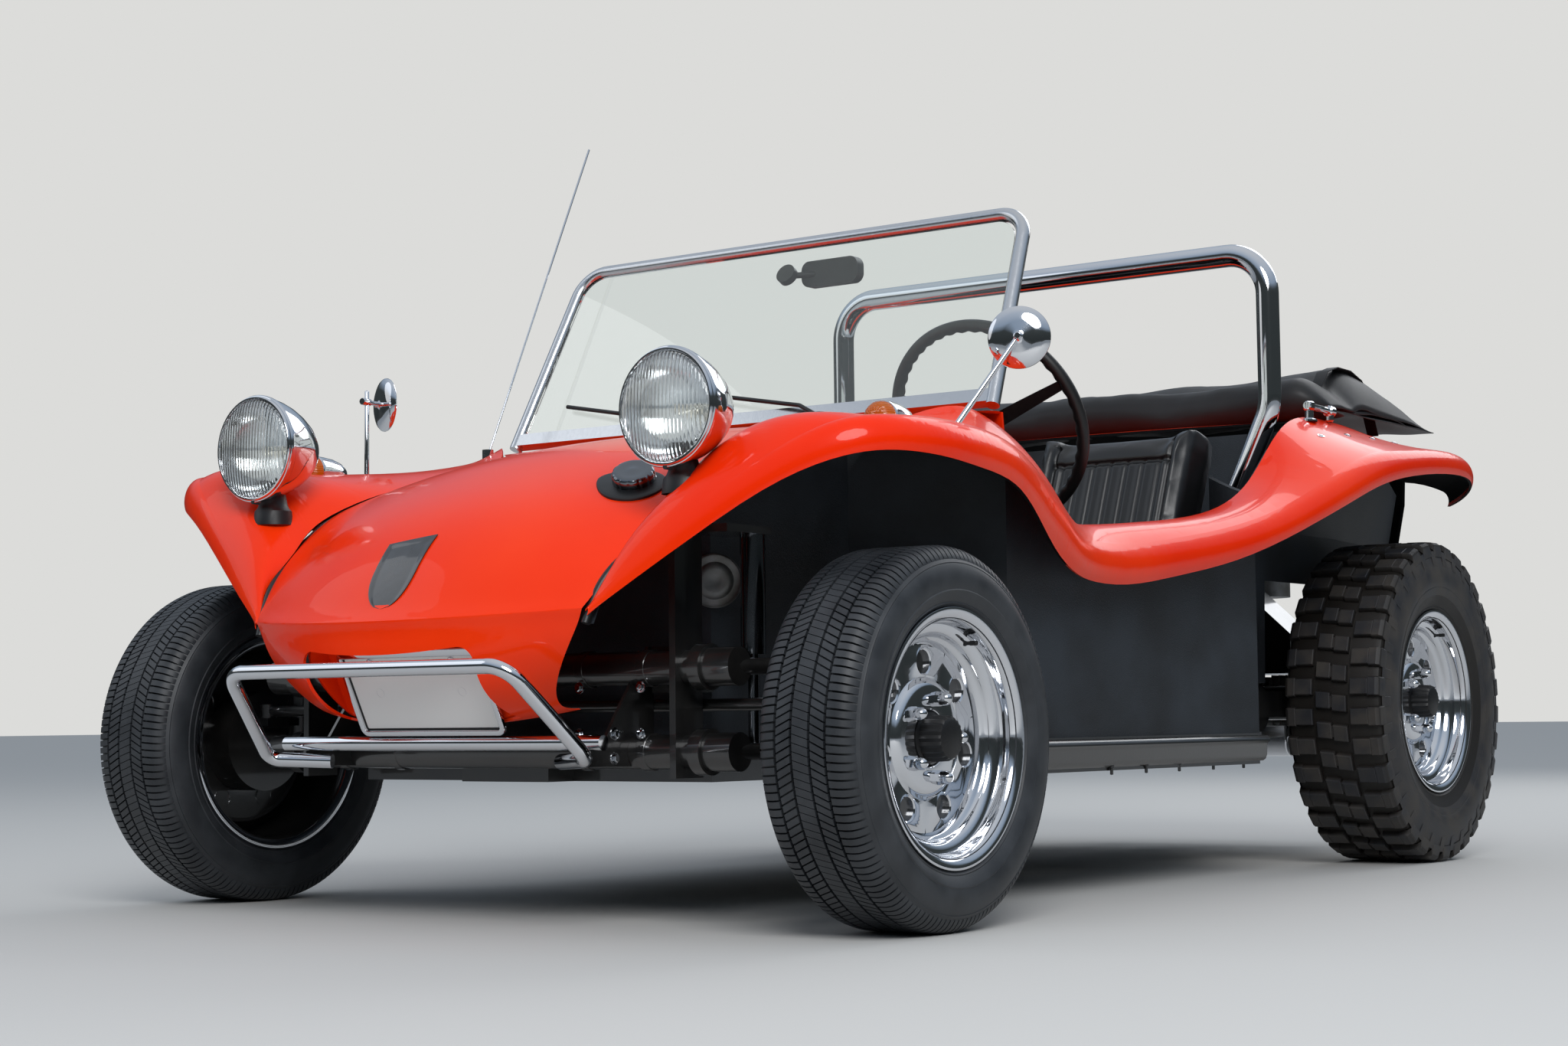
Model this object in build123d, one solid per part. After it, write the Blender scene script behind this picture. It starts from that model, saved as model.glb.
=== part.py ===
from build123d import *
import math
import os

# An open two-seat dune buggy with a glass-fibre body on a shortened rear-engined floorpan.
# Millimetres. The car faces -Y, its left side is +X, the floor is z = 0.
# Body stations are measured rearwards from the front axle.

# Driving dimensions of the chassis
wheelbase = 2032.0
front_overhang = 444.0
rear_overhang = 640.0
front_track = 1457.0
rear_track = 1306.0
front_axle_y = (front_overhang - wheelbase - rear_overhang) / 2
rear_axle_y = front_axle_y + wheelbase

# Tyres and rims
front_tyre_radius = 289.0
front_tyre_width = 185.0
rear_tyre_radius = 343.0
rear_tyre_width = 224.0
front_tread_width = 142.0
rear_tread_width = 206.0
road_tyre_sides = 42
lug_count = 34
lug_depth = 11.0
lug_length = 48.0
lug_taper = 4.0
rim_flange_radius = 195.0
rim_bead_radius = 178.0
front_rim_width = 164.0
rear_rim_width = 190.0
rim_sheet = 5.0
disc_inset = 59.0
hub_hole_count = 7
hub_hole_radius = 18.0
hub_hole_circle = 115.0
drum_radius = 122.0
drum_width = 62.0
hub_cap_radius = 34.0
hub_cap_length = 52.0

# Steering
kingpin_x = 588.0
steering_arm = 82.0
tie_rod_radius = 10.0
tie_rod_z = 343.0
column_x = 350.0
wheel_hub_y = 860.0
wheel_hub_z = 870.0
column_angle = 27.0
column_radius = 19.0
steering_box_y = -72.0
steering_rim_radius = 195.0
steering_grip_radius = 10.0

# Front beam
beam_y = -132.0
beam_upper_z = 401.0
beam_lower_z = 271.0
beam_tube_radius = 27.0
beam_half_length = 430.0
trailing_arm_x = 492.0
shock_x = 462.0
shock_y = -38.0
shock_top_z = 600.0
shock_radius = 20.0
axle_gap = 0.5
lower_ear_z = 262.0

# Body shell
wall = 6.0
seat_gap = 0.6
tub_floor_z = 282.0
pan_z = 222.0
pan_thickness = 5.0
tunnel_half_width = 95.0
tunnel_height = 190.0
rail_width = 36.0
pan_rear = 1590.0
ledge_z = 390.0
torsion_radius = 48.0
torsion_y = pan_rear + 62.0

# Glass, bars and bumper
screen_bottom = (553.0, 544.0, 873.0)
screen_top = (523.0, 720.0, 1231.0)
screen_tube_radius = 13.0
glass_thickness = 6.0
roll_bar_x = 543.0
roll_bar_y = pan_rear + 84.0
roll_bar_z = 1293.0
roll_bar_radius = 24.0
bumper_tube_radius = 12.0

# Engine, measured rearwards from the rear axle
crank_z = 350.0
case_front = 190.0
case_length = 262.0
case_half_width = 130.0
case_top_z = 452.0
barrel_radius = 46.0
barrel_spacing = 112.0
bank_stagger = 16.0
fin_count = 8
fin_radius = 59.0
fin_thickness = 3.0
head_inner_x = 262.0
head_outer_x = 340.0
head_height = 116.0
valve_cover_depth = 44.0
tin_z = 412.0
tin_thickness = 2.5
shroud_front = 225.0
shroud_depth = 118.0
shroud_half_width = 305.0
fan_z = 583.0
fan_radius = 152.0
fan_inlet_radius = 104.0
generator_z = 612.0
generator_radius = 53.0
generator_length = 140.0
pulley_y = 488.0
pulley_width = 20.0
crank_pulley_radius = 86.0
generator_pulley_radius = 50.0
belt_thickness = 8.0
manifold_x = 300.0
manifold_y = 380.0
manifold_z = 478.0
manifold_radius = 13.0
silencer_y = 576.0
silencer_z = 270.0
silencer_radius = 56.0
silencer_half_length = 310.0
header_radius = 19.0

# Tail pipes
pipe_radius = 17.0
pipe_bore_radius = 15.0
pipe_bore_length = 58.0

# Lamps
headlight_x = 453.0
headlight_y = -244.0
headlight_z = 792.0
headlight_radius = 93.0
headlight_rim_depth = 18.0
headlight_depth = 135.0
lens_radius = 84.0
lens_bulge = 14.0

# Number plate, leaning with the nose
plate_width = 313.0
plate_height = 150.0
plate_middle = (0.0, -299.5, 368.0)
plate_lean = 26.2
recess_width = 372.0
recess_height = 196.0


def at(x, y, z):
    """A point given by its station behind the front axle."""
    return Vector(x, front_axle_y + y, z)


def both_sides(solid):
    """The solid and its mirror image on the car's right."""
    return [solid, mirror(solid, about=Plane.YZ)]


def within(solid, space):
    """The stretch of a solid that lies in a space."""
    return (solid & space).solids().sort_by(SortBy.VOLUME)[-1]


def seated(solid, shell):
    """A solid that ends on a shell's outer face."""
    return (solid - shell).solids().sort_by(Axis.Z)[-1]


def rod(points, radius, bend):
    """A round bar along straight runs joined by tangent arcs."""
    if len(points) > 2:
        path = FilletPolyline(*points, radius=bend)
    else:
        path = Line(*points)
    return sweep(Plane(path @ 0, z_dir=path % 0) * Circle(radius), path=path)


def cylinder_x(radius, x_from, x_to, y, z):
    """A cylinder along X between two planes."""
    plane = Plane(Vector(x_from, y, z), x_dir=(0, 1, 0), z_dir=(1, 0, 0))
    return extrude(plane * Circle(radius), x_to - x_from)


def box_between(low, high):
    """A block between two corners."""
    low, high = tuple(low), tuple(high)
    size = [high[i] - low[i] for i in range(3)]
    middle = [(high[i] + low[i]) / 2 for i in range(3)]
    return Pos(*middle) * Box(*size)


# The side of the body: one row for each station, five points from the lip to the inner edge.
# Columns: station, lip x z, outer face x z, shoulder x z, top x z, inner edge x z.
side_rows = [
    (-318, (362, 478), (364, 484), (363, 489), (361, 489), (358, 485)),
    (-300, (401, 510), (400, 519), (392, 526), (380, 525), (367, 514)),
    (-250, (534, 604), (533, 622), (515, 637), (452, 640), (384, 575)),
    (-200, (652, 677), (651, 702), (622, 716), (474, 698), (391, 618)),
    (-140, (746, 711), (745, 742), (705, 763), (492, 746), (397, 668)),
    (-50, (790, 714), (790, 748), (735, 770), (540, 768), (372, 713)),
    (100, (795, 703), (797, 745), (735, 771), (540, 778), (372, 752)),
    (250, (776, 682), (780, 728), (725, 765), (560, 792), (402, 790)),
    (380, (743, 630), (752, 684), (712, 740), (600, 800), (450, 824)),
    (480, (715, 588), (729, 636), (708, 690), (640, 778), (540, 850)),
    (560, (699, 563), (712, 606), (696, 645), (660, 704), (590, 770)),
    (640, (686, 552), (698, 592), (684, 625), (655, 655), (610, 680)),
    (760, (681, 550), (691, 588), (677, 622), (650, 648), (612, 660)),
    (950, (688, 572), (697, 608), (682, 641), (652, 666), (612, 675)),
    (1150, (709, 608), (716, 640), (698, 672), (660, 692), (612, 697)),
    (1330, (737, 660), (742, 690), (720, 718), (670, 736), (609, 738)),
    (1450, (757, 703), (762, 734), (738, 764), (672, 790), (604, 796)),
    (1550, (772, 740), (778, 774), (750, 806), (666, 848), (598, 868)),
    (1660, (784, 778), (790, 812), (758, 844), (664, 890), (590, 926)),
    (1850, (790, 814), (795, 845), (765, 870), (676, 900), (585, 946)),
    (2050, (787, 831), (791, 858), (762, 884), (678, 902), (580, 938)),
    (2200, (770, 830), (773, 856), (745, 880), (666, 896), (570, 918)),
    (2320, (722, 812), (724, 838), (700, 860), (640, 876), (556, 890)),
    (2400, (645, 790), (647, 812), (630, 832), (590, 848), (540, 858)),
]


def inner_points(points, thickness):
    """The same five points moved inwards by the wall's thickness."""
    moved = []
    last = len(points) - 1
    for i, (x, z) in enumerate(points):
        before = points[max(i - 1, 0)]
        after = points[min(i + 1, last)]
        along = Vector(after[0] - before[0], after[1] - before[1]).normalized()
        moved.append((x - along.Y * thickness, z + along.X * thickness))
    return moved


def arcs_through(points, y):
    """Two arcs through five points of a section."""
    a, b, c, d, e = [at(x, y, z) for x, z in points]
    return [ThreePointArc(a, b, c), ThreePointArc(c, d, e)]


def side_section(row, thickness):
    """The closed wire of the body's wall at one station."""
    y, points = row[0], list(row[1:])
    inner = inner_points(points, thickness)
    edges = arcs_through(points, y)
    edges.append(Line(at(points[4][0], y, points[4][1]), at(inner[4][0], y, inner[4][1])))
    edges += arcs_through(inner[::-1], y)
    edges.append(Line(at(inner[0][0], y, inner[0][1]), at(points[0][0], y, points[0][1])))
    return Wire(edges)


def section_thickness(row):
    """The wall, thinner where the nose tip is narrower than two walls."""
    width = row[1][0] - row[5][0]
    return min(wall, width / 4)


def make_side():
    """The left side of the body, from the nose tip to the tail."""
    return Solid.make_loft([side_section(row, section_thickness(row)) for row in side_rows])


def make_space_above(below):
    """Everything over the body's side, from a given depth under its outer face."""
    wires = []
    for row in side_rows:
        y = row[0]
        inner = inner_points(list(row[1:]), below)
        corners = [inner[4], (0, inner[4][1]), (0, 1500), (1000, 1500), (1000, inner[0][1]), inner[0]]
        edges = arcs_through(inner, y)
        for a, b in zip(corners[:-1], corners[1:]):
            edges.append(Line(at(a[0], y, a[1]), at(b[0], y, b[1])))
        wires.append(Wire(edges))
    return Solid.make_loft(wires)


# The hood: rows from the bottom of the nose to the windscreen.
# Columns: edge x, station, z; centre station, z.
hood_rows = [
    ((274, -232, 338), (-277, 312)),
    ((349, -316, 476), (-394, 478)),
    ((372, -276, 548), (-346, 572)),
    ((386, -205, 614), (-262, 655)),
    ((391, -130, 670), (-160, 712)),
    ((366, -45, 712), (-55, 757)),
    ((366, 100, 750), (100, 796)),
    ((396, 250, 789), (250, 822)),
    ((444, 380, 822), (380, 840)),
    ((534, 480, 843), (480, 850)),
    ((560, 556, 848), (556, 857)),
]

# The deck and tail panel behind the roll bar, in the same columns.
deck_rows = [
    ((585.8, 1712, 932), (1712, 940)),
    ((581.0, 1850, 946), (1850, 958)),
    ((579.1, 2050, 938), (2050, 954)),
    ((569.1, 2200, 918), (2200, 934)),
    ((555.1, 2320, 890), (2330, 904)),
    ((539.1, 2399, 858), (2415, 864)),
    ((531, 2412, 800), (2436, 802)),
    ((510, 2410, 690), (2434, 690)),
]


def arched_section(edge, centre, thickness):
    """A closed wire across the car: an arc through three points and the same arc one wall inside."""
    outward = Vector(0, centre[0] - edge[1], centre[1] - edge[2]).normalized()
    crown = at(0, *centre)
    corner = at(*edge)
    inner_crown = crown - outward * thickness
    inner_corner = corner - outward * thickness * 0.6 - Vector(thickness, 0, 0)
    far, inner_far = [Vector(-p.X, p.Y, p.Z) for p in (corner, inner_corner)]
    return Wire([
        ThreePointArc(corner, crown, far),
        Line(far, inner_far),
        ThreePointArc(inner_far, inner_crown, inner_corner),
        Line(inner_corner, corner),
    ])


def arched_panel(rows, ruled=False):
    """A wall lofted through arched sections."""
    return Solid.make_loft([arched_section(edge, centre, wall) for edge, centre in rows], ruled)


def nose_core(rows, below):
    """The nose as a filled solid whose skin lies a given depth under the hood's outer face."""
    wires = []
    for edge, centre in rows:
        outward = Vector(0, centre[0] - edge[1], centre[1] - edge[2]).normalized()
        corner = at(*edge) - outward * below
        crown = at(0, *centre) - outward * below
        far = Vector(-corner.X, corner.Y, corner.Z)
        wires.append(Wire([ThreePointArc(corner, crown, far), Line(far, corner)]))
    return Solid.make_loft(wires)


def plate_frame():
    """The plane of the number plate: its local z points out of the nose."""
    lean = math.radians(plate_lean)
    return Plane(at(*plate_middle), x_dir=(1, 0, 0), z_dir=(0, -math.cos(lean), -math.sin(lean)))


def make_hood():
    """The hood with its nose and the recess for the number plate."""
    shell = arched_panel(hood_rows)
    frame = plate_frame()
    inside = extrude(frame.offset(-8) * RectangleRounded(recess_width, recess_height, 30), 150)
    tray = extrude(frame.offset(-8 - wall) * RectangleRounded(recess_width + 2 * wall, recess_height + 2 * wall, 36), 150)
    tray = within(tray - inside, nose_core(hood_rows[:3], wall / 2))
    return shell - inside + tray


def make_number_plate():
    """A blank plate in a thin frame, on two pads against the recess."""
    frame = plate_frame()
    edge = extrude(frame * RectangleRounded(plate_width, plate_height, 8), 6)
    edge -= extrude(frame.offset(4) * RectangleRounded(plate_width - 14, plate_height - 14, 5), 3)
    for x in (-89, 89):
        edge += extrude(frame.offset(-7.7) * Pos(x, 0, 0) * Circle(9), 7.7)
    return edge


def make_dashboard():
    """The panel under the windscreen's foot, set against the hood's rear edge."""
    edge, centre = hood_rows[-1]
    low_z = 690
    back = centre[0] + 0.3
    outline = [
        ThreePointArc(at(edge[0], back, edge[2]), at(0, back, centre[1]), at(-edge[0], back, edge[2])),
        Line(at(-edge[0], back, edge[2]), at(-edge[0] - 10, back, low_z)),
        Line(at(-edge[0] - 10, back, low_z), at(edge[0] + 10, back, low_z)),
        Line(at(edge[0] + 10, back, low_z), at(edge[0], back, edge[2])),
    ]
    panel = extrude(make_face(outline), wall, dir=(0, 1, 0))
    return panel - column_hole()


# The tub's plan, from the front corner of the footwell round to the rear wheel: x and station.
tub_plan = [(380, -40), (380, 345), (618, 470), (638, 1385), (506, 1470), (500, pan_rear)]
tub_height = 620.0

# The inner wall beside the rear wheel. Columns: station, top x z, knee x z.
rear_well_rows = [
    (1476, (594, 796), (512, 690)),
    (1560, (590, 858), (510, 700)),
    (1708, (576, 912), (506, 705)),
    (1850, (568, 920), (506, 705)),
    (2050, (562, 912), (506, 705)),
    (2200, (552, 892), (504, 700)),
    (2390, (520, 822), (494, 690)),
]
rear_well_low = 600.0
bulkhead_y = pan_rear + 118.0


def column_point(distance):
    """A point on the steering column's line, ahead of the steering wheel's hub."""
    a = math.radians(column_angle)
    return at(column_x, wheel_hub_y - distance * math.cos(a), wheel_hub_z - distance * math.sin(a))


def column_length():
    """From the steering wheel's hub to the steering box."""
    return (wheel_hub_y - steering_box_y) / math.cos(math.radians(column_angle))


def column_hole():
    """The clear hole for the steering column in the walls that it passes."""
    return rod([column_point(60), column_point(column_length() - 4)], column_radius + 3, 0)


def tub_outline():
    """The tub's closed plan on both sides of the car."""
    half = [at(x, y, 0) for x, y in tub_plan]
    return make_face(Polyline(*half, *[Vector(-p.X, p.Y, 0) for p in half[::-1]], close=True))


def well_wall(side, rows, bottom_z):
    """The wall beside a rear wheel through some rows, down to a given height."""
    wires = []
    for y, top, knee in rows:
        points = [top, knee, (500, bottom_z)]
        points += [(x - wall, z) for x, z in points[::-1]]
        wires.append(Wire(Polyline(*[at(side * x, y, z) for x, z in points], close=True).edges()))
    return Solid.make_loft(wires, ruled=True)


def make_tub():
    """The black lower half of the body: footwell, side walls, rear wheel wells and bulkhead."""
    outer = tub_outline()
    ring = extrude(outer - offset(outer, -wall, kind=Kind.INTERSECTION), tub_height)
    ring = ring.moved(Location((0, 0, tub_floor_z)))
    ring -= box_between(at(-493, 1480, 0), at(493, pan_rear + 1, 2000))
    ring -= box_between(at(-700, 1476, 0), at(700, pan_rear + 1, 2000))
    ring -= column_hole()
    tub = ring
    before = [row for row in rear_well_rows if row[0] <= bulkhead_y]
    behind = [row for row in rear_well_rows if row[0] >= bulkhead_y]
    for side in (1, -1):
        tub += well_wall(side, before, ledge_z)
        tub += well_wall(side, behind, rear_well_low)
        x = sorted((side * 494, side * 500))
        tub += box_between(at(x[0], 1474, tub_floor_z), at(x[1], pan_rear, ledge_z))
    tub += box_between(at(-494, pan_rear - wall, tub_floor_z), at(494, pan_rear, ledge_z))
    tub += box_between(at(-500, pan_rear - wall, ledge_z - wall), at(500, bulkhead_y, ledge_z))
    tub += box_between(at(-500, bulkhead_y - wall, ledge_z - wall), at(500, bulkhead_y, 700))
    upper = [at(x, bulkhead_y, z) for x, z in [(-500, 690), (500, 690), (566, 912), (-566, 912)]]
    tub += extrude(make_face(Polyline(*upper, close=True)), wall, dir=(0, -1, 0))
    above = make_space_above(wall + seat_gap)
    return tub - above - mirror(above, about=Plane.YZ)


def make_floorpan():
    """The pan with its tunnel, the rail that the tub stands on, and the frame head."""
    outer = tub_outline()
    pan = extrude(outer, pan_thickness).moved(Location((0, 0, pan_z)))
    inner = offset(outer, -rail_width, kind=Kind.INTERSECTION)
    rail = extrude(outer - inner, tub_floor_z - pan_z - pan_thickness)
    rail = rail.moved(Location((0, 0, pan_z + pan_thickness)))
    tunnel = box_between(at(-tunnel_half_width, -3, pan_z), at(tunnel_half_width, pan_rear - wall - 0.5,
                                                         pan_z + tunnel_height))
    tunnel = fillet(tunnel.edges().filter_by(Axis.Y).group_by(Axis.Z)[-1], 40)
    head = box_between(at(-tunnel_half_width, beam_y + beam_tube_radius + 0.3, pan_z),
                       at(tunnel_half_width, 0, tub_floor_z - 1))
    frame = pan + rail + tunnel + head
    for side in (1, -1):
        x = sorted((side * 95.4, side * 127))
        frame += box_between(at(x[0], pan_rear - rail_width, 236), at(x[1], 2150, 330 - torsion_radius - 0.4))
    return frame


def make_beam():
    """Two tubes across the car with the shock towers that join them."""
    beam = cylinder_x(beam_tube_radius, -beam_half_length, beam_half_length, front_axle_y + beam_y, beam_upper_z)
    beam += cylinder_x(beam_tube_radius, -beam_half_length, beam_half_length, front_axle_y + beam_y, beam_lower_z)
    for side in (1, -1):
        x = sorted((side * 396, side * 408))
        tower = box_between(at(x[0], beam_y - 34, beam_lower_z - 40), at(x[1], beam_y + 34, shock_top_z + 20))
        x = sorted((side * 396, side * (shock_x + 22)))
        tower += box_between(at(x[0], beam_y, shock_top_z + 8), at(x[1], shock_y + 20, shock_top_z + 20))
        beam += tower
        for z in (beam_upper_z, beam_lower_z):
            x = sorted((side * beam_half_length, side * (beam_half_length + 22)))
            beam += cylinder_x(36, x[0], x[1], front_axle_y + beam_y, z)
    return beam


def make_trailing_arms():
    """Four short arms from the beam's ends back to the kingpin carriers."""
    solids = []
    for side in (1, -1):
        for z in (beam_upper_z, beam_lower_z):
            start = at(side * trailing_arm_x, beam_y, z)
            end = at(side * (trailing_arm_x + 36), -31, z)
            arm = cylinder_x(30, *sorted((side * (beam_half_length + 22.4), side * (trailing_arm_x + 14))),
                             front_axle_y + beam_y, z)
            arm += rod([start, end], 13, 0)
            solids.append(arm)
    return solids


def make_kingpin_carriers():
    """The uprights that the trailing arms hold, which carry the kingpins."""
    solids = []
    for side in (1, -1):
        x = sorted((side * 508, side * 548))
        carrier = box_between(at(x[0], -25.7, lower_ear_z - 13), at(x[1], 20, beam_upper_z + 20))
        x = sorted((side * 540, side * (kingpin_x + 22)))
        for low, high in ((beam_upper_z - 1.6, beam_upper_z + 20), (lower_ear_z - 13, lower_ear_z)):
            carrier += box_between(at(x[0], -20, low), at(x[1], 20, high))
        solids.append(carrier)
    return solids


def make_shocks():
    """Front shock absorbers from the tower's arm down to the lower trailing arm."""
    solids = []
    for side in (1, -1):
        top = at(side * shock_x, shock_y, shock_top_z + 7.7)
        low = at(side * shock_x, shock_y, beam_lower_z)
        body = rod([low + Vector(0, 0, 150), top], shock_radius, 0)
        body += rod([low, top], 9, 0)
        eye = sorted((side * (shock_x - 14), side * 507))
        body += cylinder_x(12, *eye, front_axle_y + shock_y, beam_lower_z)
        solids.append(body)
    return solids


def make_knuckle(side):
    """Stub axle: kingpin barrel, spindle, brake plate and steering arm."""
    y = front_axle_y
    x = side * kingpin_x
    barrel = rod([Vector(x, y, lower_ear_z + 0.4), Vector(x, y, beam_upper_z - 2)], 26, 0)
    spindle_end = side * (front_track / 2 + front_rim_width / 2 - disc_inset - rim_sheet - drum_width - axle_gap)
    spindle = cylinder_x(22, *sorted((x, spindle_end)), y, front_tyre_radius)
    arm = box_between((x - 14, y - steering_arm - 14, tie_rod_z - 26), (x + 14, y - 10, tie_rod_z - 12.4))
    return barrel + spindle + arm


def make_tie_rods():
    """The track rod with an eye over each steering arm."""
    y = -steering_arm
    solid = rod([at(-kingpin_x + 12, y, tie_rod_z), at(kingpin_x - 12, y, tie_rod_z)], tie_rod_radius, 0)
    for side in (1, -1):
        solid += Pos(*at(side * kingpin_x, y, tie_rod_z)) * Cylinder(15, 24)
    return solid


def ring_at(across, radius, sides):
    """A ring of a tyre's flat sides, at a distance across the axle line."""
    turns = [2 * math.pi * k / sides for k in range(sides)]
    return Wire.make_polygon([Vector(across, radius * math.sin(t), radius * math.cos(t)) for t in turns])


def make_tyre(radius, width, tread_width, rim_width, sides):
    """A tyre's carcass round the origin: tread, shoulders and sidewalls through many-sided rings, and its bore."""
    belly_radius = rim_flange_radius + (radius - rim_flange_radius) * 0.6
    bead = rim_width / 2 - rim_sheet - 0.3
    reach = 1 / math.cos(math.pi / sides)
    half = [(tread_width / 2, radius), (width / 2, belly_radius), (bead, (rim_flange_radius + 2.5) * reach)]
    stations = [(-across, up) for across, up in reversed(half)] + half
    rings = [ring_at(across, up, sides) for across, up in stations]
    bore_radius = (rim_bead_radius + 0.3) * reach
    bore = Solid.make_loft([ring_at(-bead - 1, bore_radius, sides), ring_at(bead + 1, bore_radius, sides)], ruled=True)
    return Solid.make_loft(rings, ruled=True) - bore


def make_mud_tyre():
    """The rear carcass with three rows of tapered lugs, the middle one staggered."""
    root = rear_tyre_radius - lug_depth
    crown = math.sqrt(rear_tyre_radius ** 2 - (lug_length / 2 - lug_taper) ** 2)
    tyre = make_tyre(root, rear_tyre_width, rear_tread_width, rear_rim_width, lug_count)
    pitch = 360 / lug_count
    # Rows of lugs: inner and outer place across the tread, share of a pitch that the row is turned by
    rows = [(-rear_tread_width / 2, -41, 0.5), (-33, 33, 0), (41, rear_tread_width / 2, 0.5)]
    lugs = []
    for inner, outer, share in rows:
        rings = []
        for low, level in ((0, root - 4), (lug_taper, crown)):
            half = lug_length / 2 - low
            across = (inner + low, outer - low)
            corners = [(across[0], -half), (across[1], -half), (across[1], half), (across[0], half)]
            rings.append(Wire.make_polygon([Vector(x, along, level) for x, along in corners]))
        lug = Solid.make_loft(rings, ruled=True)
        lugs += [lug.rotate(Axis.X, pitch * (k + share)) for k in range(lug_count)]
    return tyre + lugs

def make_rim(x, y, z, width, side):
    """A wheel: barrel with flanges, disc with round holes, brake drum and hub cap."""
    lip = width / 2
    well = rim_bead_radius - 32
    outline = [(-lip, rim_flange_radius), (-lip + rim_sheet, rim_flange_radius - 2), (-lip + rim_sheet, rim_bead_radius - 0.3)]
    outline += [(-lip + 30, rim_bead_radius - 2), (-lip + 45, well), (lip - 45, well), (lip - 30, rim_bead_radius - 2)]
    outline += [(lip - rim_sheet, rim_bead_radius - 0.3), (lip - rim_sheet, rim_flange_radius - 2), (lip, rim_flange_radius)]
    outline += [(lip, rim_bead_radius - rim_sheet - 1), (lip - 30, rim_bead_radius - 2 - rim_sheet)]
    outline += [(lip - 43, well - rim_sheet), (-lip + 43, well - rim_sheet)]
    outline += [(-lip + 30, rim_bead_radius - 2 - rim_sheet), (-lip, rim_bead_radius - rim_sheet - 1)]
    barrel = revolve(make_face(Polyline(*outline, close=True)), Axis.X)
    face = lip - disc_inset
    disc = cylinder_x(well - 1, face - rim_sheet, face, 0, 0)
    for k in range(hub_hole_count):
        angle = math.radians(90 + 360 * k / hub_hole_count)
        disc -= cylinder_x(hub_hole_radius, face - 20, face + 20, hub_hole_circle * math.cos(angle),
                           hub_hole_circle * math.sin(angle))
    drum = cylinder_x(drum_radius * 0.74, face - rim_sheet - drum_width, face - rim_sheet, 0, 0)
    cap = cylinder_x(hub_cap_radius, face, face + hub_cap_length, 0, 0)
    rim = barrel + disc + drum + cap
    if side < 0:
        rim = mirror(rim, about=Plane.YZ)
    return rim.moved(Location((x, y, z)))


def make_screen():
    """The bent windscreen frame with its bottom channel, and the glass in it."""
    low, high = screen_bottom, screen_top
    lean = (high[1] - low[1]) / (high[2] - low[2])
    drop = 15.0
    foot = (low[0] + 1.3, low[1] - drop * lean, low[2] - drop)
    points = [at(*foot), at(*high), at(-high[0], high[1], high[2]), at(-foot[0], foot[1], foot[2])]
    frame = rod(points, screen_tube_radius, 60)
    channel = box_between((-low[0], -11, -13), (low[0], 11, 13))
    channel = channel.moved(Location(at(0, low[1], low[2]), (-math.degrees(math.atan(lean)), 0, 0)))
    frame = frame + channel
    clear = screen_tube_radius + 0.7
    plane = Plane(at(0, low[1], low[2]), x_dir=(1, 0, 0), z_dir=Vector(0, -1, lean))
    height = math.hypot(high[1] - low[1], high[2] - low[2])
    slope = (low[0] - high[0]) / height
    foot_x = low[0] - clear * (1 + slope)
    outline = [(-foot_x, clear), (foot_x, clear), (high[0] - clear, height - clear), (-high[0] + clear, height - clear)]
    glass_face = make_face(Polyline(*outline, close=True))
    glass_face = fillet(glass_face.vertices().group_by(Axis.Y)[-1], 54)
    glass = extrude(plane * glass_face, glass_thickness / 2, both=True)
    return frame, glass


def make_roll_bar():
    """The roll hoop, whose posts lean in beside the wheel wells and stand on the floor."""
    foot_x = 455
    left = [(foot_x, ledge_z + 0.3), (foot_x, 770), (roll_bar_x, 960), (roll_bar_x, roll_bar_z)]
    points = [at(x, roll_bar_y, z) for x, z in left]
    points += [Vector(-p.X, p.Y, p.Z) for p in points[::-1]]
    return rod(points, roll_bar_radius, [120, 120, 90, 90, 120, 120])


def make_bumper():
    """The chrome front bumper bent from one tube, and the straight bar between its ends."""
    left = [(250, -250, 258), (346, -300, 262), (300, -432, 403)]
    points = [at(*p) for p in left]
    points += [Vector(-p.X, p.Y, p.Z) for p in points[::-1]]
    hoop = rod(points, bumper_tube_radius, [22, 45, 45, 22])
    bar = cylinder_x(bumper_tube_radius, -345, 345, front_axle_y - 262, 287)
    return hoop + bar


def make_brackets():
    """Two upright plates that carry the bumper from the beam."""
    solids = []
    for side in (1, -1):
        x = sorted((side * 300, side * 306))
        outline = [(-105, 436), (-208, 298), (-208, 250), (-100, 248), (-93, 300), (-93, 436)]
        points = [at(x[0], y, z) for y, z in outline]
        plate = extrude(make_face(Polyline(*points, close=True)), 6, dir=(1, 0, 0))
        plate -= cylinder_x(beam_tube_radius + 0.3, x[0] - 5, x[1] + 5, front_axle_y + beam_y, beam_upper_z)
        plate -= cylinder_x(beam_tube_radius + 0.3, x[0] - 5, x[1] + 5, front_axle_y + beam_y, beam_lower_z)
        stay = box_between(at(x[0], -262, 250), at(x[1], -200, 274.7))
        solids.append(plate + stay)
    return solids


def dome(x_from, x_to, radius):
    """The arc of a sphere cap about the local X axis, from its rim to its pole."""
    sag = x_to - x_from
    ball = (sag * sag + radius * radius) / (2 * abs(sag))
    turn = 1 if sag > 0 else -1
    middle = x_to - turn * ball
    half_angle = math.asin(min(1, radius / ball)) / 2
    if abs(sag) > ball:
        half_angle = (math.pi - 2 * half_angle) / 2
    return ThreePointArc((x_from, radius), (middle + turn * ball * math.cos(half_angle), ball * math.sin(half_angle)),
                         (x_to, 0))


def turned(profile, place):
    """A profile revolved about its X axis, which is then pointed rearwards at a place."""
    return revolve(make_face(profile), Axis.X).rotate(Axis.Z, 90).moved(Location(place))


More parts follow.
